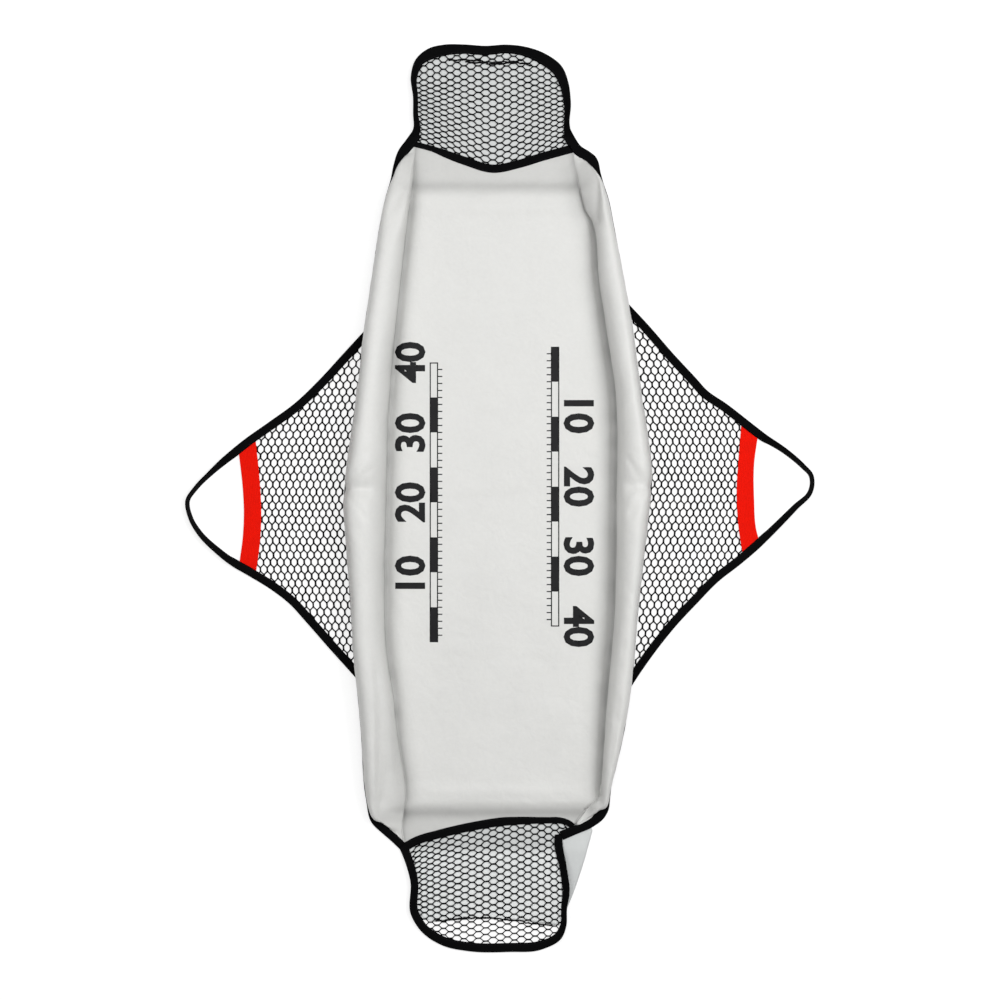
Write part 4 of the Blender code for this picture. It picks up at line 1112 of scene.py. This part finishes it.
# The seen width is not the same everywhere: (pixel on the fold, millimetres more than 12).
edge_widths = {
    LEFT: [
        ((413, 130.5), 3), ((406.4, 139.6), 3), ((398.3, 150.8), 2.1), ((393, 168), 0), ((399.5, 848.8), 0),
    ],
    RIGHT: [
        ((571, 130.5), 2.4), ((580, 145.5), 2.4), ((585, 148.8), 2.8), ((592, 153.6), 3.6), ((600, 170), 0),
        ((609.9, 800), 0), ((603.5, 818.6), 3.2), ((595.3, 825.3), 0.3), ((588.1, 829.3), 0),
        ((583.8, 831.1), -0.6), ((577, 833.8), 0.8), ((563, 839.8), 1.2),
    ],
}
seam_widths = {
    "head": [
        ((410.5, 140.6), -4), ((430, 145.4), -4), ((447, 150.6), -1.2), ((466, 157), 0), ((576.5, 143.2), 0),
    ],
    "tail": [
        ((403, 853), 0), ((500, 826), 0.4), ((522, 824.2), -1), ((542, 823.4), -2.8), ((572.5, 830), -3.4),
    ],
}


def width_along(line, stations):
    """The tape's width at each point of its line, on a smooth curve through the stations."""
    run = run_of(line)
    pairs = []
    for pixel, more in stations:
        nearest = np.linalg.norm(line - from_photo([pixel]), axis=1).argmin()
        pairs.append((run[nearest], more / 1000))
    return TAPE_WIDTH + table(pairs, run)


for side, name in names.items():
    line = evenly(edges[side], 0.004)
    sewn_tape(f"{name}_edge_tape", f"{name}_edge_stitches", [f"{name}_side_binding"], line, -side,
              TAPE_BOTTOM, width=width_along(line, edge_widths[side]))

for name, seam, inward in (("head", head_seam, -1), ("tail", tail_seam, 1)):
    line = evenly(seam, 0.003)
    hidden = 1 - ramp(to_end(run_of(line)), 0.0018, 0.0072)
    slot, bottom = SLOT - (SLOT - 0.0001) * hidden, TAPE_BOTTOM + (TAPE_LEG + 0.00005) * hidden
    sewn_tape(f"{name}_seam_tape", f"{name}_seam_stitches", [f"{name}_seam_binding"], line, inward,
              bottom, slot, width=width_along(line, seam_widths[name]), ends=0.014)

# %% [markdown]
# ## Tape round the end flaps
#
# Each flap's tape follows the rim of its net. Where the photograph shows it narrower than it is, it
# stands partly on its edge, so the seen width gives the turn. Its two ends run on a little past the
# fold line inside the side tape, and the piece is baked in place on no body, so it doesn't bend.

# %% Rims
def smoothed(values, reach):
    kernel = np.hanning(2 * reach + 3)[1:-1]
    return np.convolve(np.pad(values, reach, mode="edge"), kernel / kernel.sum(), mode="valid")


def bands_turn(widths):
    """The turn that makes a 12 mm tape look as narrow as the given pixels, up to nearly upright."""
    return np.arccos(np.clip(np.asarray(widths) * PIXEL / TAPE_WIDTH, 0.34, 1))


# Each rim as (pixel across, pixel down, the tape's seen width in pixels).
rims = {
    "head": [
        (409.2, 137, 8.4), (412.9, 129.5, 6.4), (412.9, 115, 3.6), (412.9, 99, 3.6), (410.6, 76, 5.4),
        (415, 60.6, 8.4), (429, 48.4, 11.6), (443.9, 44.8, 11), (463.9, 44.6, 9.4), (485.5, 46, 9.3),
        (507, 44.8, 8.6), (525, 46.8, 9.5), (545, 53.7, 11.3), (562, 66.7, 11.3), (569, 85, 9),
        (571.2, 103.5, 6), (570.7, 129.5, 5), (574, 137, 8.4),
    ],
    "tail": [
        (397.4, 844, 8.4), (400, 849.5, 8.4), (406, 865, 7.5), (410, 880, 7), (410.6, 914, 7.5),
        (421, 931, 8.4), (443, 945.6, 9), (468, 951, 9), (509, 951.8, 9), (542, 949.3, 9), (562, 937.6, 7),
        (566.5, 925.9, 5), (567.3, 908, 4.6), (569.8, 893, 6.5), (567, 866, 6.5), (562.5, 841.5, 8.4),
        (562, 834, 8.4),
    ],
}
rim_lines = {}
for name, points in rims.items():
    line = evenly(flowing(from_photo(points)), 0.004)
    hidden = 1 - ramp(to_end(run_of(line)), 0, 0.010)
    turn = smoothed(bands_turn(line[:, 2]), 3) * (1 - hidden)
    width = np.maximum(smoothed(line[:, 2], 3) * PIXEL, TAPE_WIDTH) - 0.002 * hidden
    sewn_tape(f"{name}_rim_tape", f"{name}_rim_stitches", [f"{name}_rim_binding"], line,
              -1 if name == "head" else 1, TAPE_BOTTOM + 0.0005 * hidden, SLOT - (SLOT - 0.0002) * hidden,
              turn, width, ends=0.016, flap=f"{name}_flap")
    rim_lines[name] = line

# %% [markdown]
# ## Netting
#
# The netting is a six-sided mesh. A short thick bar joins two columns of openings, and two thin
# slanting strands leave each end of it. Every strand is one small capsule with a few dozen faces, wide
# at its knots. The net lies flat on the tongue, a little uneven, and its strands end under the tape.
# Near a slanted seam the rows follow the seam. The wings' netting is turned a quarter, and its columns
# run along the wall.

# %% The lattice
COLUMN = 7.1 * PIXEL
ROW = 6.7 * PIXEL
BAR_HALF = 0.27 * COLUMN
STRAND = capsule(6, [(-0.60, 0.55), (-0.5, 1.25), (-0.28, 0.95), (0.28, 0.95), (0.5, 1.25), (0.60, 0.55)])
FLAP_STRANDS, WING_STRANDS = (0.00110, 0.00079), (0.00131, 0.00102)
NET_PUSH = 0.0011
RIM_INSET = 0.002


def lattice(low, high):
    """Both ends of every strand in a box: bars, half a row apart in odd columns, and two slants from each."""
    i, j = np.meshgrid(np.arange(math.floor(low[0] / COLUMN) - 1, math.ceil(high[0] / COLUMN) + 2),
                       np.arange(math.floor(low[1] / ROW) - 1, math.ceil(high[1] / ROW) + 2))
    x, y = i.ravel() * COLUMN, (j.ravel() + (i.ravel() % 2) / 2) * ROW
    left, right = np.column_stack([x - BAR_HALF, y]), np.column_stack([x + BAR_HALF, y])
    onward = COLUMN - 2 * BAR_HALF
    starts = np.vstack([left, right, right])
    ends = np.vstack([right, right + (onward, ROW / 2), right + (onward, -ROW / 2)])
    bar = np.repeat([True, False, False], len(left))
    return starts, ends, bar


def pleat(pixels, seed):
    """A gathered line of the net: short strands in a row, each a little out of line."""
    chain = evenly(flowing(from_photo(pixels)), 0.0034)
    chain = chain + np.random.default_rng(seed).uniform(-0.0011, 0.0011, chain.shape)
    return chain[:-1], chain[1:]


def netting(name, box, warp, outline, level, turned=False, pleats=()):
    """Strands whose two ends lie inside the outline, after the lattice is warped onto the net's own shape."""
    starts, ends, bar = lattice(*box)
    if turned:
        starts, ends = starts[:, ::-1], ends[:, ::-1]
    starts, ends = warp(starts), warp(ends)
    kept = within(starts, outline) & within(ends, outline)
    starts, ends, bar = starts[kept], ends[kept], bar[kept]
    for seed, pixels in enumerate(pleats):
        first, last = pleat(pixels, 70 + seed)
        starts, ends = np.vstack([starts, first]), np.vstack([ends, last])
        bar = np.append(bar, np.full(len(first), True))
    low = np.column_stack([starts, level(starts)])
    high = np.column_stack([ends, level(ends)])
    forward = high - low
    ahead = unit(forward)
    over = np.column_stack([-ahead[:, 1], ahead[:, 0], np.zeros(len(ahead))])
    above = np.cross(ahead, over)
    bar_width, slant_width = WING_STRANDS if turned else FLAP_STRANDS
    uneven_width = 1 + 0.12 * soft_noise(21, (starts + ends) / 2, 0.006)
    wide = (np.where(bar, bar_width, slant_width) * uneven_width)[:, None]
    net = many(name, STRAND, (low + high) / 2, forward, over * wide, above * wide * 0.55)
    finished(net, black_net)
    surface = area_of(net) / 2
    print(f"{name}: {len(bar)} strands, {surface:.4f} square metres of cord")
    return net, surface


def uneven(places, seed):
    """Pushes places of a net a little about, so that no row is quite straight."""
    return places + NET_PUSH * np.stack([soft_noise(seed + k, places, 0.045) for k in (0, 1)], axis=-1)


# %% The end nets
NET_LEVEL = 0.0024
SEAM_FADE = 0.12


def flap_net(name, seam, inward, box, tilt, pleats):
    """One end's net, from its seam to its rim. Rows follow the seam near it and the tilt further out."""
    rim = beside(rim_lines[name], inward * RIM_INSET)
    out = -inward
    middle = seam[np.abs(seam[:, 0] - seam[:, 0].mean()).argmin(), 1]
    centre = rim[:, 0].mean()

    def warp(places):
        moved = places.copy()
        from_centre = places[:, 0] - centre
        drop = np.interp(places[:, 0], seam[:, 0], seam[:, 1]) - middle
        fade = 1 - ramp(out * (places[:, 1] - middle), 0, SEAM_FADE)
        moved[:, 0] = centre + from_centre * (1 - 0.05 * (from_centre / 0.115) ** 2)
        moved[:, 1] += drop * fade
        moved[:, 1] += tilt * from_centre * (1 - fade)
        return uneven(moved, 30 + out)

    def level(places):
        lift = ramp(out * (places[:, 1] - folds[name]), 0, 0.03)
        return NET_LEVEL + 0.0008 * lift * (0.5 + 0.5 * soft_noise(33, places, 0.05))

    outline = np.vstack([rim, beside(seam, inward * 0.004)[::-1]])
    net, surface = netting(f"{name}_mesh", box, warp, outline, level, pleats=pleats)
    across_fold(net, f"{name}_flap")
    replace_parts(net, f"{name}_net", f"{name}_net_margin")


flap_net("head", head_seam, -1, ((-0.16, 0.45), (0.13, 0.68)), 0.0, (
    [(449, 61), (462, 59.5), (478, 61), (492, 62.5), (508, 62), (522, 60)],
    [(466, 62), (482, 63), (498, 64.5), (516, 63), (532, 66)],
))
flap_net("tail", tail_seam, 1, ((-0.16, -0.68), (0.13, -0.42)), 0.02, (
    [(436, 921), (453, 918.5), (476, 917.5), (509, 919.5), (534, 923.5), (552, 926)],
))

# %% [markdown]
# ## Wings
#
# The tape that edges a wing's net runs on past the red strap as the hand loop. Between the wall and the
# strap it holds the net in its fold, and beyond the strap its two legs lie flat on each other and stand
# on edge round the loop. The strap is a band of red webbing whose ends go under the tape, which rises
# over them.

# %% Handle tape
# Each tape as (pixel across, pixel down, its seen width in pixels), and each strap's two edges.
wing_lines = {
    LEFT: [
        (364.1, 330.9, 6.8), (343, 353.9, 7.2), (320, 379, 7.6), (295, 403, 8.4), (269, 422, 8.4),
        (241, 442, 8.2), (222, 458, 6.8), (208, 472, 4.4), (194, 487, 3.6), (186, 499.5, 3.2),
        (189, 519, 3.4), (198, 535, 4.4), (216.5, 554, 6), (233, 567, 7), (247, 575, 8), (273, 591, 8.4),
        (289, 603.5, 8), (306, 622, 7.2), (327, 646, 6.8), (355.8, 678, 6.4),
    ],
    RIGHT: [
        (627.8, 303, 6.4), (647, 323.5, 7.4), (673.6, 354, 7.4), (697.7, 380, 7.2), (705.7, 389, 7.4),
        (727, 404, 7.6), (754, 425, 7.8), (767, 435, 6.6), (787, 449, 5), (805, 465, 4), (812.6, 474, 3.4),
        (814, 485, 3.4), (812, 493, 3.6), (797, 509.5, 5.2), (778.6, 529, 6.6), (757.5, 550, 7.6),
        (741, 564, 7.8), (718, 582, 7.6), (697, 603.5, 7.4), (676, 626, 7.2), (659, 647, 7), (641, 672, 6.6),
        (631.4, 686.6, 6.4),
    ],
}
straps = {
    LEFT: ([(238.4, 449), (243, 490), (244, 510), (243, 536), (239, 566)],
           [(255.4, 437), (259.7, 479), (261.4, 515), (260, 543), (255.6, 576)]),
    RIGHT: ([(741.6, 420), (738, 464), (736.5, 490), (738.6, 529), (743.4, 559)],
            [(758.4, 432), (754, 464), (754, 500), (756, 529), (760, 544)]),
}
strap_places = {side: side * np.mean(from_photo(one + other)[:, 0]) for side, (one, other) in straps.items()}
BAND_BOTTOM = 0.0001
BAND_END = 0.0145
LOOP_SLOT = 0.0003
STRAP_SLOT = 0.0013
STRAP_THICKNESS = 0.0012
STRAP_TOP = 0.0031
STRAP_SINK = 0.0008
STRAP_WAVE = 0.0003
STRAP_GRID = 48, 15
bands = {}

for side, pixels in wing_lines.items():
    name = names[side]
    line = evenly(flowing(from_photo(pixels)), 0.004)
    kept = to_end(run_of(line)) > BAND_END
    kept[[0, -1]] = True
    line = line[kept]
    from_strap = side * line[:, 0] - strap_places[side]
    beyond = ease((from_strap - 0.016) / 0.030)
    turn = smoothed(bands_turn(line[:, 2]), 3) * np.clip(0.35 + beyond, 0, 1)
    over_strap = np.exp(-((from_strap / 0.017) ** 4))
    slot = SLOT + (LOOP_SLOT - SLOT) * beyond + STRAP_SLOT * over_strap * (1 - beyond)
    cuts = []
    for end in (0, -1):
        nearest = np.linalg.norm(edges[side] - line[end, :2], axis=1).argmin()
        step = edges[side][nearest + 3] - edges[side][nearest - 3]
        normal = np.array([-step[1], step[0]])
        cuts.append((edges[side][nearest] - unit(normal) * np.sign(normal[0]) * side * EDGE_INSET, normal))
    nodes = [f"{name}_handle_tape", f"{name}_head_tape_end", f"{name}_tail_tape_end"]
    sewn_tape(f"{name}_handle_band", f"{name}_handle_stitches", nodes, line, -side, BAND_BOTTOM, slot, turn,
              ends=0.020, cuts=cuts, flap=f"{name}_wing")
    bands[side] = line

# %% Red straps
def strap(side):
    """A band between its two drawn edges. Its ends sink into the tape's fold, its middle lies on the net."""
    left, right = (evenly(flowing(from_photo(points)), 0.004) for points in straps[side])
    plan, down, over = ruled(left, right, *STRAP_GRID)
    run = run_of(plan[:, STRAP_GRID[1] // 2])
    sunk = ease(1 - (to_end(run) - 0.006) / 0.010)[:, None]
    level = STRAP_TOP - STRAP_SINK * sunk + STRAP_WAVE * soft_noise(40, plan, 0.03) * (1 - sunk)
    grid = np.dstack([plan, level])
    width = np.linalg.norm(plan[:, 0] - plan[:, -1], axis=1)[:, None]
    grid = grid[:, ::-1] if grid[0, 0, 0] > grid[0, -1, 0] else grid
    along = np.broadcast_to(run[:, None], level.shape)
    piece = skin(f"{names[side]}_webbing", grid, along, (over - 0.5) * width)
    thickened(piece, STRAP_THICKNESS)
    edge = piece.modifiers.new("soft_edge", "BEVEL")
    edge.width, edge.segments, edge.limit_method = 0.0004, 2, "ANGLE"
    finished(piece, red_webbing, f"{names[side]}_wing")
    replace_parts(piece, f"{names[side]}_red_strap")


for side in (LEFT, RIGHT):
    strap(side)

# %% The wings' nets
def wing_net(side):
    """One wing's net, from the wall's edge to the middle of its strap. Columns near the wall follow it."""
    name = names[side]
    edge = edges[side]
    outline = beside(bands[side], -side * RIM_INSET)
    wall = beside(edge, -side * RIM_INSET)
    wall = wall[(wall[:, 1] < outline[0, 1]) & (wall[:, 1] > outline[-1, 1])]
    shape = np.vstack([outline, wall[::-1]])
    shape[:, 0] = side * np.minimum(side * shape[:, 0], strap_places[side] + 0.004)
    order = np.argsort(edge[:, 1])
    fold_x = abs(joints[name + "_wing_fold"]["pos_m"][0])

    def warp(places):
        moved = places.copy()
        wall_x, straight = (np.interp(y, edge[order, 1], edge[order, 0]) for y in (places[:, 1], 0))
        moved[:, 0] += (wall_x - straight) * np.maximum(1 - ramp(side * places[:, 0], 0.21, 0.26), 0.35) * 0.9
        return uneven(moved, 50 + side)

    def level(places):
        return 0.0013 + 0.0005 * ramp(side * places[:, 0], fold_x + 0.01, 0.03) * soft_noise(53, places, 0.05)

    near, far = sorted((side * 0.14, side * 0.46))
    net, surface = netting(f"{name}_wing_mesh", ((-0.28, near), (0.28, far)), warp, shape, level, turned=True)
    across_fold(net, f"{name}_wing")
    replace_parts(net, f"{name}_wing_net", f"{name}_net_margin")


for side in (LEFT, RIGHT):
    wing_net(side)

# %% [markdown]
# ## The measuring rule
#
# A mat of this kind often has a rule printed on it, to read a fish's length. It is ink on the coating: a
# rod of black and bare blocks, a tick for each 10 mm, and a heavy number at each 100 mm. The marks are
# made flat and cut by a lattice of planes into small faces. Then each point is dropped straight down
# onto the sheet, so that the ink follows its waves. The rules lie on the floor and stop short of the walls.

# %% Ink
INK_LIFT = 0.00014
INK_CELL = 0.004
ink_colour = (0.007, 0.007, 0.008)
ink = mottle_alone("black_ink", ink_colour, 0.42, shine=0.12, patch=40.0, strength=0.35, depth=0.0002)


# %% Flat marks, cut up and dropped
def rectangles(marks):
    """Rectangles as one flat mesh, each given by its lowest and highest corner."""
    flat = bmesh.new()
    for (x1, y1), (x2, y2) in marks:
        flat.faces.new([flat.verts.new((x, y, 0)) for x, y in ((x1, y1), (x2, y1), (x2, y2), (x1, y2))])
    return flat


def numeral(figures, height):
    """Heavy figures as a flat mesh of the given height, centred on the origin."""
    words = bpy.data.curves.new("figures", "FONT")
    words.body, words.offset, words.resolution_u = figures, 0.03, 3
    holder = bpy.data.objects.new("figures", words)
    flat = bmesh.new()
    mesh = holder.to_mesh()
    flat.from_mesh(mesh)
    holder.to_mesh_clear()
    bpy.data.objects.remove(holder)
    places = np.array([vert.co[:2] for vert in flat.verts])
    low, high = places.min(axis=0), places.max(axis=0)
    scale = height / (high[1] - low[1])
    for vert, place in zip(flat.verts, (places - (low + high) / 2) * scale):
        vert.co = (*place, 0)
    return flat


def merged(parts):
    """Several (flat mesh, place, angle) as one, each turned and moved to its place."""
    whole = bmesh.new()
    for flat, place, angle in parts:
        flat.transform(Matrix.Translation((*place, 0)) @ Matrix.Rotation(angle, 4, "Z"))
        mesh = bpy.data.meshes.new("part")
        flat.to_mesh(mesh)
        whole.from_mesh(mesh)
        bpy.data.meshes.remove(mesh)
        flat.free()
    return whole


def printed(name, flat):
    """Cuts the flat mesh by planes a cell apart and drops every point onto the sheet, a little above it."""
    for axis in (0, 1):
        values = [vert.co[axis] for vert in flat.verts]
        normal = (1, 0, 0) if axis == 0 else (0, 1, 0)
        for step in np.arange(min(values) + INK_CELL / 2, max(values), INK_CELL):
            everything = [*flat.verts, *flat.edges, *flat.faces]
            bmesh.ops.bisect_plane(flat, geom=everything, plane_co=np.multiply(normal, step), plane_no=normal)
    for face in flat.faces:
        face.smooth = True
        if face.normal.z < 0:
            face.normal_flip()
    mesh = bpy.data.meshes.new(name)
    flat.to_mesh(mesh)
    flat.free()
    starts = [Vector((*vertex.co[:2], 1.0)) for vertex in mesh.vertices]
    places = np.array([sheet_tree.ray_cast(start, Vector((0, 0, -1)))[0] for start in starts])
    places[:, 2] += INK_LIFT
    mesh.vertices.foreach_set("co", places.astype(np.float32).ravel())
    piece = bpy.data.objects.new(name, mesh)
    scene.collection.objects.link(piece)
    return finished(piece, ink, "mat")


sheet_tree = BVHTree.FromObject(liner, bpy.context.evaluated_depsgraph_get())

# %% The two rules
ROD, ROD_WIDTH, ROD_FRAME, TICK, FIGURES, FIGURE_GAP = 0.050, 0.012, 0.0016, 0.006, 0.044, 0.006
RODS = 8

# Each rule's foot in pixels, and whether it runs up the page or down it.
RULES = {LEFT: ((434, 642), 1), RIGHT: ((555, 347), -1)}
for side, (foot, up) in RULES.items():
    origin = from_photo([foot])[0]
    length = RODS * ROD
    marks = [((-ROD_WIDTH / 2, k * ROD), (ROD_WIDTH / 2, (k + 1) * ROD)) for k in range(0, RODS, 2)]
    marks += [((edge, 0), (edge + ROD_FRAME, length)) for edge in (-ROD_WIDTH / 2, ROD_WIDTH / 2 - ROD_FRAME)]
    marks += [((-ROD_WIDTH / 2, length - ROD_FRAME), (ROD_WIDTH / 2, length))]
    marks += [((ROD_WIDTH / 2, k / 100 - ROD_FRAME / 2), (ROD_WIDTH / 2 + TICK, k / 100 + ROD_FRAME / 2))
              for k in range(1, int(length * 100))]
    turn = 0 if up > 0 else math.pi
    parts = [(rectangles(marks), origin, turn)]
    for ten in range(1, 5):
        shift = np.array([-(FIGURES / 2 + ROD_WIDTH / 2 + FIGURE_GAP), ten / 10]) * up
        parts.append((numeral(f"{ten}0", FIGURES), origin + shift, turn + math.pi / 2))
    printed(f"{names[side]}_rule_print", merged(parts))
